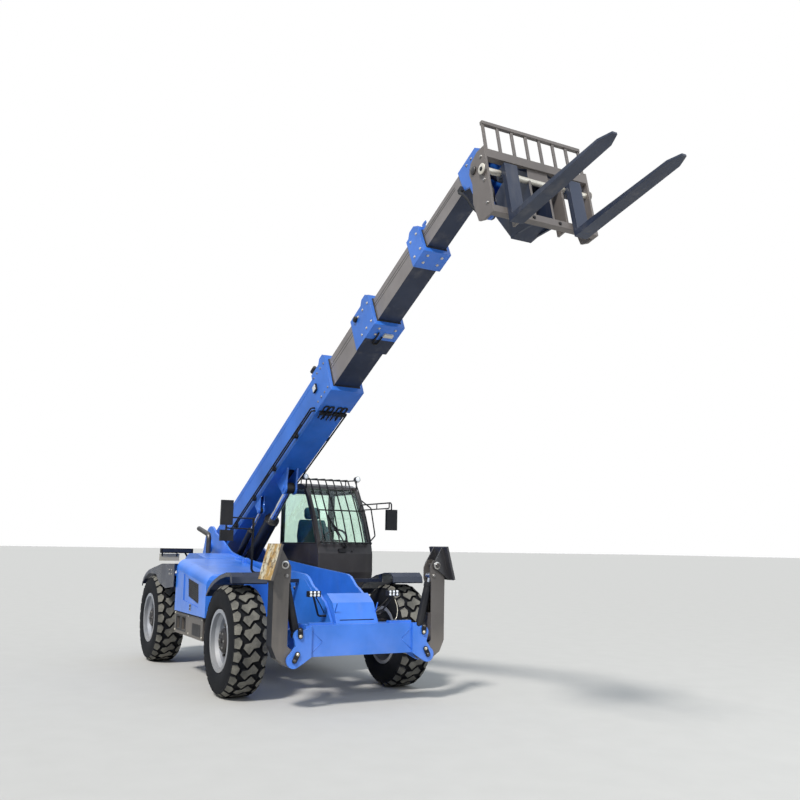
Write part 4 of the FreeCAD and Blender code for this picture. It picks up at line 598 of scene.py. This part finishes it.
class Builder:
    """Collects simple solids that end as one object on one body."""

    def __init__(self, name, body):
        self.name, self.body = name, body
        self.vertices, self.faces, self.indices, self.smooth = [], [], [], []
        self.looks = []

    def look(self, look):
        """Slot of a material, added where it is new."""
        if look not in self.looks:
            self.looks.append(look)
        return self.looks.index(look)

    def put(self, vertices, faces, look, smooth=False):
        base = len(self.vertices)
        self.vertices += [Vector(v) for v in vertices]
        self.faces += [[base + i for i in face] for face in faces]
        self.indices += [self.look(look)] * len(faces)
        self.smooth += [smooth] * len(faces)

    def box(self, centre, size, look, turn=None):
        half = Vector(size) / 2
        corners = [Vector((x, y, z)) for x in (-1, 1) for y in (-1, 1) for z in (-1, 1)]
        points = [Vector((c.x * half.x, c.y * half.y, c.z * half.z)) for c in corners]
        if turn is not None:
            points = [turn @ p for p in points]
        faces = [(0, 1, 3, 2), (4, 6, 7, 5), (0, 4, 5, 1), (2, 3, 7, 6), (0, 2, 6, 4), (1, 5, 7, 3)]
        self.put([Vector(centre) + p for p in points], faces, look)

    def disc_stack(self, rings, axis_from, axis_to, look, sides=24, smooth=True):
        """Solid of revolution along a line: rings are (distance, radius)."""
        start, direction = Vector(axis_from), (Vector(axis_to) - Vector(axis_from)).normalized()
        side = direction.orthogonal().normalized()
        other = direction.cross(side)
        points = [start + direction * distance + (side * math.cos(a) + other * math.sin(a)) * radius
                  for distance, radius in rings for a in around(sides)]
        self.put(points, ring_faces(len(rings), sides), look, smooth)

    def rod(self, a, b, r, look, sides=12):
        """Plain round bar between two points."""
        length = (Vector(b) - Vector(a)).length
        self.disc_stack([(0, r), (length, r)], a, b, look, sides)

    def bolt(self, place, direction, r, look=None, height=None):
        """Hexagon head on a washer."""
        look = look or BOLT
        height = height or r * 0.7
        place, direction = Vector(place), Vector(direction).normalized()
        self.disc_stack([(0, r * 1.35), (height * 0.22, r * 1.35)], place, place + direction, look, 16)
        start = place + direction * height * 0.22
        head = [(0, r), (height * 0.8, r), (height, r * 0.82)]
        self.disc_stack(head, start, start + direction, look, 6, False)

    def disc(self, rings, place, side, look, sides=20):
        """Solid of revolution that points to the machine's left or right side."""
        place = Vector(place)
        self.disc_stack(rings, place, place + Vector((0, side, 0)), look, sides)

    def tube(self, points, r, look, bend=0.05):
        """Round tube along a line with rounded corners."""
        path = rounded(points, bend)
        sides, ring_points = 8, []
        tangent = (path[1] - path[0]).normalized()
        side = tangent.orthogonal().normalized()
        for i, p in enumerate(path):
            ahead = path[min(i + 1, len(path) - 1)] - path[max(i - 1, 0)]
            ahead.normalize()
            side = (side - ahead * side.dot(ahead)).normalized()
            other = ahead.cross(side)
            ring_points += [p + (side * math.cos(a) + other * math.sin(a)) * r for a in around(sides)]
        self.put(ring_points, ring_faces(len(path), sides), look, True)

    def done(self):
        """Make the object and let it ride on its body."""
        mesh = bpy.data.meshes.new(self.name)
        mesh.from_pydata([v + SHIFT for v in self.vertices], [], self.faces)
        for look in self.looks:
            mesh.materials.append(look)
        mesh.polygons.foreach_set("material_index", self.indices)
        mesh.polygons.foreach_set("use_smooth", self.smooth)
        mesh.update()
        obj = bpy.data.objects.new(self.name, mesh)
        link(obj)
        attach(obj, self.body)
        return obj


def rounded(points, bend):
    """The line through the points with each corner rounded."""
    steps = 6
    points = [Vector(p) for p in points]
    path = [points[0]]
    for before, corner, after in zip(points, points[1:], points[2:]):
        back = min(bend, (corner - before).length / 2, (after - corner).length / 2)
        a = corner + (before - corner).normalized() * back
        b = corner + (after - corner).normalized() * back
        for i in range(steps + 1):
            t = i / steps
            path.append(a * (1 - t) ** 2 + corner * 2 * t * (1 - t) + b * t * t)
    path.append(points[-1])
    return path


def boom_point(s, y, n):
    return BOOM_PIVOT + Vector((s * BOOM_COS - n * BOOM_SIN, y, s * BOOM_SIN + n * BOOM_COS))


def boom_turn():
    return Matrix.Rotation(-BOOM_ANGLE, 3, "Y")


def carriage_point(u, y, v):
    head = boom_point(HEAD_S, 0.0, HEAD_N)
    c, d = math.cos(FORK_PITCH), math.sin(FORK_PITCH)
    return head + Vector((u * c - v * d, y, u * d + v * c))


# Tyres

# The tread in millimetres; its blocks' outlines run across the tyre and along its circumference
TREAD_R, PITCHES, GROOVE = 595.0, 26, 26.0
CENTRE_BLOCK = [(-99, -27), (-83, 19), (-18, 32), (34, 96), (99, 27), (83, -19), (18, -32), (-34, -96)]
SHOULDER_BLOCK = [(-187, -28), (-187, 78), (-142, 93), (-109, 56), (-109, 20), (-137, -33)]


def tread_radius(b):
    """Radius of the tread's surface at b millimetres from the middle: domed, with falling shoulders."""
    b, dome, shoulder = abs(b), 4.0, 150
    if b <= shoulder:
        return TREAD_R - dome * (b / shoulder) ** 2
    return TREAD_R - dome - (b - shoulder)


def block(points, pitch, depth):
    """Tread block: top outline, chamfered rim, walls down into the groove."""
    rows = []
    middle = [sum(p[i] for p in points) / len(points) for i in (0, 1)]
    for shrink, sink in ((4.5, 0.0), (0.0, 4.0), (-2.0, depth)):
        row = []
        for b, a in points:
            db, da = b - middle[0], a - middle[1]
            length = math.hypot(db, da)
            k = (length - shrink) / length
            pb, pa = middle[0] + db * k, middle[1] + da * k
            radius = (tread_radius(pb) - sink) / 1000
            angle = pitch + pa / TREAD_R
            row.append((radius, angle, pb / 1000))
        rows.append(row)
    return rows


def tyre(wheel, x, side):
    """Tyre that stands for its solid: plain walls and a tread of separate blocks."""
    builder = Builder("tyre_look_" + wheel, "wheel_" + wheel)

    def place(radius, angle, b):
        return (x + radius * math.cos(angle), side * (WHEEL_Y + b * side), WHEEL_R + radius * math.sin(angle))

    profile = [(-0.170, 0.305), (-0.172, 0.342), (-0.186, 0.352), (-0.196, 0.390), (-0.2, 0.430),
               (-0.199, 0.470), (-0.192, 0.510), (-0.184, 0.545), (-0.165, 0.562), (-0.10, 0.569),
               (0.0, 0.571)]
    profile += [(-b, r) for b, r in reversed(profile[:-1])]
    profile += [(0.150, 0.330), (-0.150, 0.330)]
    sides, count = 120, len(profile)
    points, faces = [place(r, angle, b) for angle in around(sides) for b, r in profile], []
    for i in range(sides):
        j = (i + 1) % sides
        for k in range(count):
            m = (k + 1) % count
            faces.append((i * count + k, i * count + m, j * count + m, j * count + k))
    builder.put(points, faces, RUBBER, True)
    blocks = [CENTRE_BLOCK, SHOULDER_BLOCK, [(-b, -a) for b, a in SHOULDER_BLOCK]]
    for pitch in around(PITCHES):
        for outline in blocks:
            rows = block(outline, pitch, GROOVE)
            flat = [place(*p) for row in rows for p in row]
            n = len(outline)
            builder.put(flat[:n], [tuple(range(n))], TREAD)
            walls = [(k * n + q, (k + 1) * n + q, (k + 1) * n + (q + 1) % n, k * n + (q + 1) % n)
                     for k in (0, 1) for q in range(n)]
            builder.put(flat, walls, RUBBER)
    obj = builder.done()
    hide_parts("tyre_" + wheel)


for wheel, x, side in WHEELS:
    tyre(wheel, x, side)


# Wheels: nuts, hub rings and valve

def wheel_details(wheel, x, side):
    b = Builder("wheel_trim_" + wheel, "wheel_" + wheel)
    face, hub = side * (WHEEL_Y + 0.0792), side * (WHEEL_Y + 0.064 + 0.088)
    for count, circle, y, r, look, height in ((10, 0.1675, face, 0.0168, DARK_STEEL, 0.027),
                                              (6, 0.085, hub, 0.010, BOLT, 0.008)):
        for a in around(count):
            place = (x + circle * math.cos(a), y, WHEEL_R + circle * math.sin(a))
            b.bolt(place, (0.0, side, 0.0), r, look, height)
    b.disc([(0, 0.030), (0.006, 0.030), (0.010, 0.022)], (x, hub, WHEEL_R), side, HUB)
    b.tube([(x + 0.262, face - side * 0.01, WHEEL_R), (x + 0.272, face + side * 0.04, WHEEL_R)], 0.004, DARK)
    b.done()


for wheel, x, side in WHEELS:
    wheel_details(wheel, x, side)


# Front: weld lines, keeper pins, lamps, hoses

def front_details():
    b = Builder("front_trim", "chassis")
    for side in (1, -1):
        for low, high in ((0.545, 0.672), (0.802, 0.678)):
            b.rod((2.8, side * 0.60, low), (2.8, side * 0.462, high), 0.0045, BLUE, 6)
        for ((y, z), (dy, dz)), looks in zip(LUG_PINS, ((DARK_STEEL, VALVE), (VALVE, DARK_STEEL))):
            b.bolt((LUG_FACE, side * y, z), (1, 0, 0), 0.0135, looks[0], 0.010)
            b.bolt((LUG_FACE, side * (y + dy), z + dz), (1, 0, 0), 0.0135, looks[1], 0.010)
        lamp_y = 0.47
        for z in (1.121, 1.121 + 0.030):
            for k in range(3):
                y = side * (lamp_y + (k - 1) * 0.043)
                lens = [(0, 0.0145), (0.004, 0.0145), (0.008, 0.009)]
                b.disc_stack(lens, (2.595, y, z), (3.0, y, z), LENS, 14)
        for k in range(7):
            b.box((2.527, side * (lamp_y + (k - 3) * 0.020), 1.135), (0.016, 0.005, 0.052), DARK)
        b.tube([(2.56, side * 0.44, 1.10), (2.52, side * 0.36, 1.00), (2.46, side * 0.30, 0.93)], 0.006, HOSE)
    slope = Matrix.Rotation(math.atan2(0.115, 0.205), 3, "Y")
    b.box((2.652, 0.0, 0.868), (0.004, 0.40, 0.007), SHADE, slope)
    for side in (1, -1):
        b.box((2.606, side * 0.2385, 0.945), (0.012, 0.008, 0.225), BLUE, slope)
        b.disc([(0, 0.019), (0.0012, 0.018)], (1.597, side * FRAME_SIDE, 1.194), side, SHADE)
        weld = side * (FRAME_SIDE + 0.0003)
        for xa, za, xb, zb in ((1.86, 1.255, 2.07, 1.140), (2.15, 1.120, 2.32, 1.030)):
            b.rod((xa, weld, za), (xb, weld, zb), 0.003, BLUE, 6)
    b.tube([(2.56, 0.49, 1.10), (2.60, 0.52, 0.98), (2.62, 0.50, 0.88), (2.62, 0.47, 0.845)], 0.005, VALVE)
    b.done()


front_details()


def valve_block(b, place, size, ports):
    """Valve block with a row of fittings along its top."""
    b.box(place, size, VALVE)
    top = place[2] + size[2] / 2
    for k in range(ports):
        y = place[1] + size[1] * ((k + 0.5) / ports - 0.5)
        fitting = [(0, 0.013), (0.02, 0.013), (0.02, 0.009), (0.034, 0.009)]
        b.disc_stack(fitting, (place[0], y, top), (place[0], y, top + 1), BOLT, 6, False)


def frame_details():
    b = Builder("frame_trim", "chassis")
    valve_block(b, (-0.55, 0.13, 1.13), (0.22, 0.16, 0.12), 4)
    valve_block(b, (-0.20, -0.236, 1.15), (0.16, 0.048, 0.10), 3)
    b.box((-0.55, 0.20, 1.06), (0.06, 0.13, 0.14), DARK)
    b.box((-0.20, -0.240, 1.00), (0.05, 0.050, 0.24), DARK)
    for k in range(4):
        y = 0.07 + 0.04 * k
        b.tube([(-0.55, y, 1.22), (-0.62, y, 1.27), (-0.95, y - 0.02, 1.26), (-1.32, y, 1.20),
                (-1.60, y, 1.12)], 0.011, HOSE, bend=0.10)
    for k in range(3):
        y = -0.252 + 0.016 * k
        b.tube([(-0.20, y, 1.23), (-0.05, y, 1.24), (0.30, y, 1.12), (0.80, y, 0.97)], 0.007, HOSE, bend=0.12)
    for side in (1, -1):
        for x, z in ((-2.05, 1.30), (-1.75, 1.30), (0.60, 1.20), (1.55, 1.15)):
            b.bolt((x, side * FRAME_SIDE, z), (0, side, 0), 0.014)
        cap = [(0, 0.062), (0.006, 0.062), (0.010, 0.055)]
        b.disc(cap, (PIVOT_X, side * 0.3102, PIVOT_Z), side, DARK_STEEL, 28)
        for k in range(3):
            a = math.radians(90 + 120 * k)
            place = (PIVOT_X + 0.035 * math.cos(a), side * 0.3200, PIVOT_Z + 0.035 * math.sin(a))
            b.bolt(place, (0, side, 0), 0.008)
    b.done()


frame_details()


# Hood, fenders and rear

def step_box_shade_trim():
    """Dark strips round the recesses of the step box, painted shade that makes the recesses look larger, a
    dark plate, and bolts at its corners.
    """
    b = Builder("step_box_shade_trim", "chassis")
    low, high, strip_height = 0.54, 0.73, 0.02
    strips = [(x0, x1, low, high) for x0, x1 in ((-0.425, -0.38), (-0.23, -0.13), (0.02, 0.045))]
    openings = ((-0.38, -0.23), (-0.13, 0.02))
    strips += [(x0, x1, z, z + strip_height) for x0, x1 in openings for z in (low, high - strip_height)]
    # The strips round the two openings are painted shade of the recesses
    for x0, x1, z0, z1 in strips + [(0.35, 0.70, 0.535, 0.675)]:
        b.box(((x0 + x1) / 2, -BOX_SIDE - 0.0013, (z0 + z1) / 2), (x1 - x0, 0.003, z1 - z0), DARK)
    for x in (-0.455, 0.18, 0.77):
        for z in (0.535, 0.745):
            b.bolt((x, -BOX_SIDE, z), (0, -1, 0), 0.011, CREAM)
    b.done()


step_box_shade_trim()


def hood_details():
    """Latch on the hood's side and bolts on the fenders."""
    b = Builder("hood_trim", "hood")
    x, y = 0.329, -HOOD_SIDE
    b.box((x, y - 0.003, 0.862), (0.060, 0.008, 0.080), BRIGHT)
    b.box((x, y - 0.008, 0.880), (0.034, 0.006, 0.026), DARK)
    b.disc([(0, 0.011), (0.006, 0.010)], (x, y - 0.007, 0.842), -1, DARK, 16)
    b.done()
    c = Builder("fender_trim", "chassis")
    for side, columns in ((1, (-0.668,)), (-1, (-0.668, -0.557))):
        for z in (1.285, 1.233):
            for x in columns:
                c.bolt((x, side * FENDER_SIDE, z), (0, side, 0), 0.012, BRIGHT)
        c.bolt((1.551, side * 0.956, 1.294), (-0.1, 0, 1), 0.020, BRIGHT, 0.012)
    for side in (1, -1):
        for x in (-AXLE_X - 0.03, -AXLE_X + 0.03, AXLE_X - 0.03, AXLE_X + 0.03):
            for z in (1.225, 1.245):
                c.bolt((x, side * 0.8003, z), (0, side, 0), 0.007)
    c.done()


hood_details()


def rear_details():
    """Lamps, reflectors and blank plates on the counterweight and on the lamp bar."""
    b = Builder("rear_trim", "chassis")
    x = -2.5605
    for side in (1, -1):
        for k, look in enumerate((RED, AMBER, LENS)):
            lamp, behind = [(offset, side * (0.80 - 0.085 * k), 1.12) for offset in (x, x - 1)]
            b.disc_stack([(0, 0.040), (0.012, 0.040), (0.018, 0.034)], lamp, behind, DARK, 24)
            b.disc_stack([(0.0, 0.034), (0.022, 0.034), (0.027, 0.026)], lamp, behind, look, 24)
        b.box((x - 0.003, side * 0.80, 0.98), (0.006, 0.09, 0.045), RED)
    b.box((x - 0.002, 0.0, 1.10), (0.004, 0.34, 0.17), VALVE)
    for y in (-0.15, 0.15):
        b.bolt((x - 0.004, y, 1.10), (-1, 0, 0), 0.006)
    b.done()
    lamp = Builder("rear_bar_trim", "chassis")
    for k, look in enumerate((RED, RED, AMBER, LENS, RED)):
        lamp.box((-2.2335, -0.90 + 0.095 * k, 1.525), (0.007, 0.080, 0.050), look)
    lamp.box((-2.1685, -0.705, 1.525), (0.004, 0.43, 0.044), NAVY_AND_PAINTED_SHADE)
    lamp.box((-2.205, -0.81, 1.428), (0.004, 0.30, 0.104), VALVE)
    for y in (-0.92, -0.70):
        lamp.box((-2.202, y, 1.47), (0.006, 0.02, 0.06), DARK)
    lamp.done()


rear_details()


# Cab: wiper, roof lamps, louvres, pane seals and padded seat

def cab_details():
    """Wiper, roof lamps and louvres of the cab."""
    b = Builder("cab_trim", "chassis")
    b.rod((0.716, 0.74, 1.62), (0.756, 0.74, 1.635), 0.018, DARK)
    wiper = [(0.752, 0.74, 1.640), (0.735, 0.70, 1.720), (0.640, 0.62, 1.900), (0.618, 0.60, 1.930)]
    b.tube(wiper, 0.009, DARK)
    b.tube([(0.713, 0.665, 1.745), (0.650, 0.615, 1.870), (0.560, 0.55, 2.040)], 0.010, DARK)
    b.box((0.7385, 0.70, 1.58), (0.02, 0.10, 0.05), DARK)
    b.disc_stack([(0, 0.010), (0.005, 0.010)], (0.738, 0.84, 1.57), (0.80, 0.84, 1.575), DARK, 14)
    for y in (0.358, 1.142):
        x, z = 0.240, 2.557
        b.disc_stack([(0.0, 0.035), (0.006, 0.035), (0.010, 0.027)], (x, y, z), (x + 1, y, z), LENS, 20)
        b.disc_stack([(0.0, 0.041), (0.010, 0.041)], (x - 0.012, y, z), (x + 1, y, z), DARK, 20)
    for k in range(6):
        b.box((-0.6425, 0.55 + 0.08 * k, 1.45), (0.005, 0.05, 0.12), SHADE)
    b.done()


cab_details()


def seals():
    """Dark rubber strips around the cab's panes."""
    b = Builder("pane_seals", "chassis")
    y = 0.362
    outline = [(-0.590, 1.668), (-0.590, 2.400), (0.165, 2.400), (0.280, 2.285), (0.508, 1.945),
               (0.638, 1.668)]
    for (xa, za), (xb, zb) in zip(outline, outline[1:] + outline[:1]):
        b.rod((xa, y, za), (xb, y, zb), 0.008, DARK, 6)
    b.done()


seals()


def pad(name, place, size, lean):
    """Stuffed pad with round edges and a shallow seam around its middle."""
    b = Builder(name, "chassis")
    turn = Matrix.Rotation(lean, 3, "Y")
    levels, sides = 11, 36
    points = []
    for k in range(levels):
        rise = -math.pi / 2 + math.pi * k / (levels - 1)
        inset = 0.035 * (1 - math.cos(rise)) + (0.006 if k == levels // 2 else 0.0)
        for t in around(sides):
            square = 1.0 / (abs(math.cos(t)) ** 5 + abs(math.sin(t)) ** 5) ** 0.2
            reach = [(size[axis] / 2 - inset) * square for axis in (0, 1)]
            across = Vector((math.cos(t) * reach[0], math.sin(t) * reach[1], math.sin(rise) * size[2] / 2))
            points.append(Vector(place) + turn @ across)
    b.put(points, ring_faces(levels, sides), TEAL, True)
    piece = b.done()
    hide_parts("operator_seat")


def seat():
    """Operator's seat: cushion, back with side bolsters and head rest on a sprung base with arm rests."""
    pad("seat_cushion", (-0.185, CAB_Y, 1.395), (0.48, 0.46, 0.11), 0.0)
    pad("seat_back", (-0.405, CAB_Y, 1.73), (0.11, 0.44, 0.54), -0.17)
    pad("seat_head", (-0.452, CAB_Y, 2.09), (0.08, 0.24, 0.17), -0.10)
    for side, word in SIDES:
        pad("seat_bolster_" + word, (-0.375, CAB_Y + side * 0.20, 1.70), (0.13, 0.07, 0.42), -0.17)
    b = Builder("seat_base", "chassis")
    b.box((-0.20, CAB_Y, 1.335), (0.40, 0.40, 0.02), DARK)
    for k in range(4):
        width = 0.33 - 0.015 * (k % 2)
        b.box((-0.20, CAB_Y, 1.30 - 0.055 * k), (width, width, 0.045), SHADE)
    b.box((-0.20, CAB_Y, 1.070), (0.38, 0.36, 0.045), DARK)
    for side in (1, -1):
        b.box((-0.20, CAB_Y + side * 0.215, 1.56), (0.28, 0.045, 0.045), DARK)
        b.box((-0.36, CAB_Y + side * 0.215, 1.49), (0.03, 0.03, 0.12), DARK)
    piece = b.done()
    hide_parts("operator_seat")


seat()


# Boom: seams, collar bolts, hoses, plates, and painted shade round the collars' mouths and under a collar

def boom_box(b, s, y, n, size, look):
    b.box(boom_point(s, y, n), size, look, boom_turn())


def mouth_shade_ring(body, inner):
    """Dark ring round the opening that the next section slides through: painted shade of the gap there."""
    b = Builder(body + "_mouth", body)
    half_h, half_w = SECTION[inner]
    gap, w, t = 0.003, 0.010, 0.006
    s = COLLAR_FRONT[body] + t / 2
    for side in (1, -1):
        boom_box(b, s, side * (half_w + gap + w / 2), 0, (t, w, 2 * (half_h + gap + w)), SHADE)
        boom_box(b, s, 0, side * (half_h + gap + w / 2), (t, 2 * (half_w + gap), w), SHADE)
    b.done()


def seams(body, s0, s1):
    """Two fine folds along each side plate."""
    b = Builder(body + "_seams", body)
    half_h, half_w = SECTION[body]
    for side in (1, -1):
        for n in (half_h * 0.28, half_h * 0.52):
            boom_box(b, (s0 + s1) / 2, side * (half_w + 0.0004), n, (s1 - s0, 0.0012, 0.006), SHADE)
    b.done()


def boom_details():
    """The outer section's edge welds, lamps, knobs, pipe bends and collar bolts."""
    b = Builder("boom_trim", "boom")
    for side in (1, -1):
        y = side * (BOOM_SIDE + 0.0002)
        b.rod(boom_point(0.2, y, 0.155), boom_point(4.10, y, 0.155), 0.003, SHADED_BOOM_BLUE, 6)
        boom_box(b, 4.16, side * 0.222, 0.02, (0.09, 0.02, 0.085), DARK)
        boom_box(b, 4.16, side * 0.2335, 0.02, (0.075, 0.004, 0.070), LENS)
        b.rod(boom_point(4.15, side * 0.19, 0.250), boom_point(4.15, side * 0.19, 0.310), 0.022, DARK, 10)
        b.rod(boom_point(4.11, side * 0.19, 0.300), boom_point(4.20, side * 0.19, 0.300), 0.028, DARK, 10)
        low = -0.2555
        for y0, y1 in ((0.026, 0.079), (0.092, 0.145)):
            corners = ((3.93, y0), (4.20, y0), (4.20, y1), (3.96, y1))
            b.tube([boom_point(s, side * across, low) for s, across in corners], 0.010, HOSE, bend=0.03)
            boom_box(b, 4.06, side * (y0 + y1) / 2, low, (0.05, 0.085, 0.028), DARK)
        for s in (0.85, 2.05, 3.25):
            b.rod(boom_point(s, y, -0.10), boom_point(s + 0.32, y, -0.10), 0.008, SHADE, 8)
        for s in (4.16, 4.26, 4.36, 4.46):
            for n in (-0.17, 0.17):
                b.bolt(boom_point(s, side * (BOOM_SIDE + COLLAR_WALL), n), (0, side, 0), 0.011)
    b.done()


def collar_details(body):
    """Bolts of a sliding section's collar, what is fixed to it, and a thin sheet of painted shade under the
    second stage's collar.
    """
    front, (half_h, half_w) = COLLAR_FRONT[body], SECTION[body]
    b = Builder(body + "_trim", body)
    for y in (-half_w * 0.62, half_w * 0.62):
        for k in range(2):
            place = boom_point(front - 0.06 - 0.10 * k, y, -half_h - COLLAR_WALL)
            b.bolt(place, boom_turn() @ Vector((0, 0, -1)), 0.011, CREAM)
    if body == "stage_2":
        low = -half_h - COLLAR_WALL - 0.0001
        # Thin dark navy sheet under the collar: painted shade
        boom_box(b, front - 0.357, 0, low, (0.226, 2 * (half_w + 0.0238), 0.0012), NAVY_AND_PAINTED_SHADE)
        route = ((0.12, -0.075), (0.31, -0.075), (0.31, -0.012), (0.18, -0.012))
        b.tube([boom_point(front - back, y, low - 0.012) for back, y in route], 0.009, HOSE, bend=0.03)
        boom_box(b, front - 0.15, 0.05, low - 0.010, (0.05, 0.11, 0.020), CREAM)
        knob = boom_point(front - 0.34, -half_w - COLLAR_WALL, 0.13)
        b.disc([(0, 0.034), (0.022, 0.034), (0.028, 0.026)], knob, -1, DARK, 18)
    else:
        for s, n, size in ((6.800, 0.150, (0.050, 0.008, 0.075)), (6.832, 0.166, (0.030, 0.010, 0.030))):
            boom_box(b, s, -0.090, n, size, SHADED_BOOM_BLUE)
    for side in (1, -1):
        for k in range(3 if body == "stage_2" else 2):
            for n in (-half_h * 0.7, half_h * 0.7):
                place = boom_point(front - 0.05 - k * 0.12, side * (half_w + COLLAR_WALL), n)
                b.bolt(place, (0, side, 0), 0.011, CREAM)
    b.done()


boom_details()
for body, inner in zip(COLLAR_FRONT, SECTION):
    mouth_shade_ring(body, inner)
for body, start, end in (("stage_2", 1.30, 5.19), ("stage_3", 2.45, 6.52), ("stage_4", 3.50, 7.40)):
    seams(body, start, end)
for body in COLLAR_LENGTH:
    collar_details(body)


def head_details():
    """Pin caps, bolts and hoses of the boom's head."""
    b = Builder("head_trim", "stage_4")
    for side in (1, -1):
        b.disc([(0, 0.030), (0.004, 0.026)], boom_point(HEAD_S, side * 0.1593, HEAD_N), side, DARK_STEEL)
        for s, n in ((7.66, 0.06), (7.74, 0.06), (7.70, -0.20), (7.72, -0.34)):
            b.bolt(boom_point(s, side * 0.1242, n), (0, side, 0), 0.010)
    for k in range(4):
        y = -0.06 + 0.04 * k
        route = ((7.40, 0.112), (7.55, 0.150), (7.78, 0.150), (7.86, 0.08), (7.86, -0.01))
        b.tube([boom_point(s, y, n) for s, n in route], 0.011, HOSE, bend=0.09)
    boom_box(b, 7.86, 0, -0.028, (0.035, 0.2078, 0.035), DARK)
    route = ((7.50, -0.13), (7.56, -0.26), (7.60, -0.46), (7.68, -0.62), (7.80, -0.66), (7.90, -0.55),
             (7.88, -0.40))
    for side in (1, -1):
        b.tube([boom_point(s, side * 0.155, n) for s, n in route], 0.012, HOSE, bend=0.09)
        boom_box(b, 7.50, side * 0.138, -0.10, (0.06, 0.03, 0.05), DARK)
    b.done()


head_details()


def carriage_details():
    """Side bolts, shaft caps, bosses and two studs of the carriage."""
    b = Builder("carriage_trim", "carriage")
    turn = Matrix.Rotation(-FORK_PITCH, 3, "Y")
    for side in (1, -1):
        for v in (-0.33, -0.12, 0.10):
            b.bolt(carriage_point(0.50, side * CARRIAGE_SIDE, v), (0, side, 0), 0.012)
        cap = carriage_point(SHAFT_U, side * (CARRIAGE_SIDE + 0.018), SHAFT_V)
        b.disc([(0, 0.045), (0.004, 0.045), (0.006, 0.040)], cap, side, CREAM, 28)
        b.disc([(0, 0.018), (0.003, 0.018)], cap + Vector((0, side * 0.0062, 0)), side, DARK, 18)
        boss = carriage_point(BOSS_U, side * CARRIAGE_SIDE, BOSS_V)
        b.disc([(0, 0.034), (0.012, 0.034), (0.016, 0.026)], boss, side, DARK_STEEL)
    for y in (-0.13, 0.13):
        b.bolt(carriage_point(0.5555, y, -0.41), turn @ Vector((1, 0, 0)), 0.012, DARK)
    b.done()


carriage_details()


# Stabilizers: bolts and pin caps

def stabilizer_details(side, word):
    """Bolts on a stabilizer's leg and the caps of its foot's pin."""
    leg = Builder("leg_trim_" + word, "stabilizer_leg_" + word)
    for x, out in ((2.785, 1), (2.635, -1)):
        leg.bolt((x + out * 0.0045, side * 0.865, 1.330), (out, 0, 0), 0.014)
    leg.done()
    foot = Builder("foot_trim_" + word, "stabilizer_foot_" + word)
    y, z = 0.895, 1.440
    for x, out in ((2.807, 1), (2.613, -1)):
        rings = [(0, 0.042), (0.005, 0.042), (0.007, 0.038)]
        foot.disc_stack(rings, (x, side * y, z), (x + out, side * y, z), BRIGHT, 28)
        foot.bolt((x + out * 0.006, side * y, z), (out, 0, 0), 0.020, DARK_STEEL, 0.012)
    foot.done()


for side, word in SIDES:
    stabilizer_details(side, word)


def mirror_faces():
    """Bright face of each mirror, inside its shell's edge."""
    b = Builder("mirror_trim", "chassis")
    edge = 0.03
    shells = ((1.329, -1.07, 1.9975, 0.15, 0.295), (1.329, -1.0625, 1.7365, 0.165, 0.137),
              (1.269, 1.1185, 1.975, 0.151, 0.262))
    for x, y, z, width, height in shells:
        b.box((x, y, z), (0.002, width - edge, height - edge), MIRROR)
    b.done()


mirror_faces()
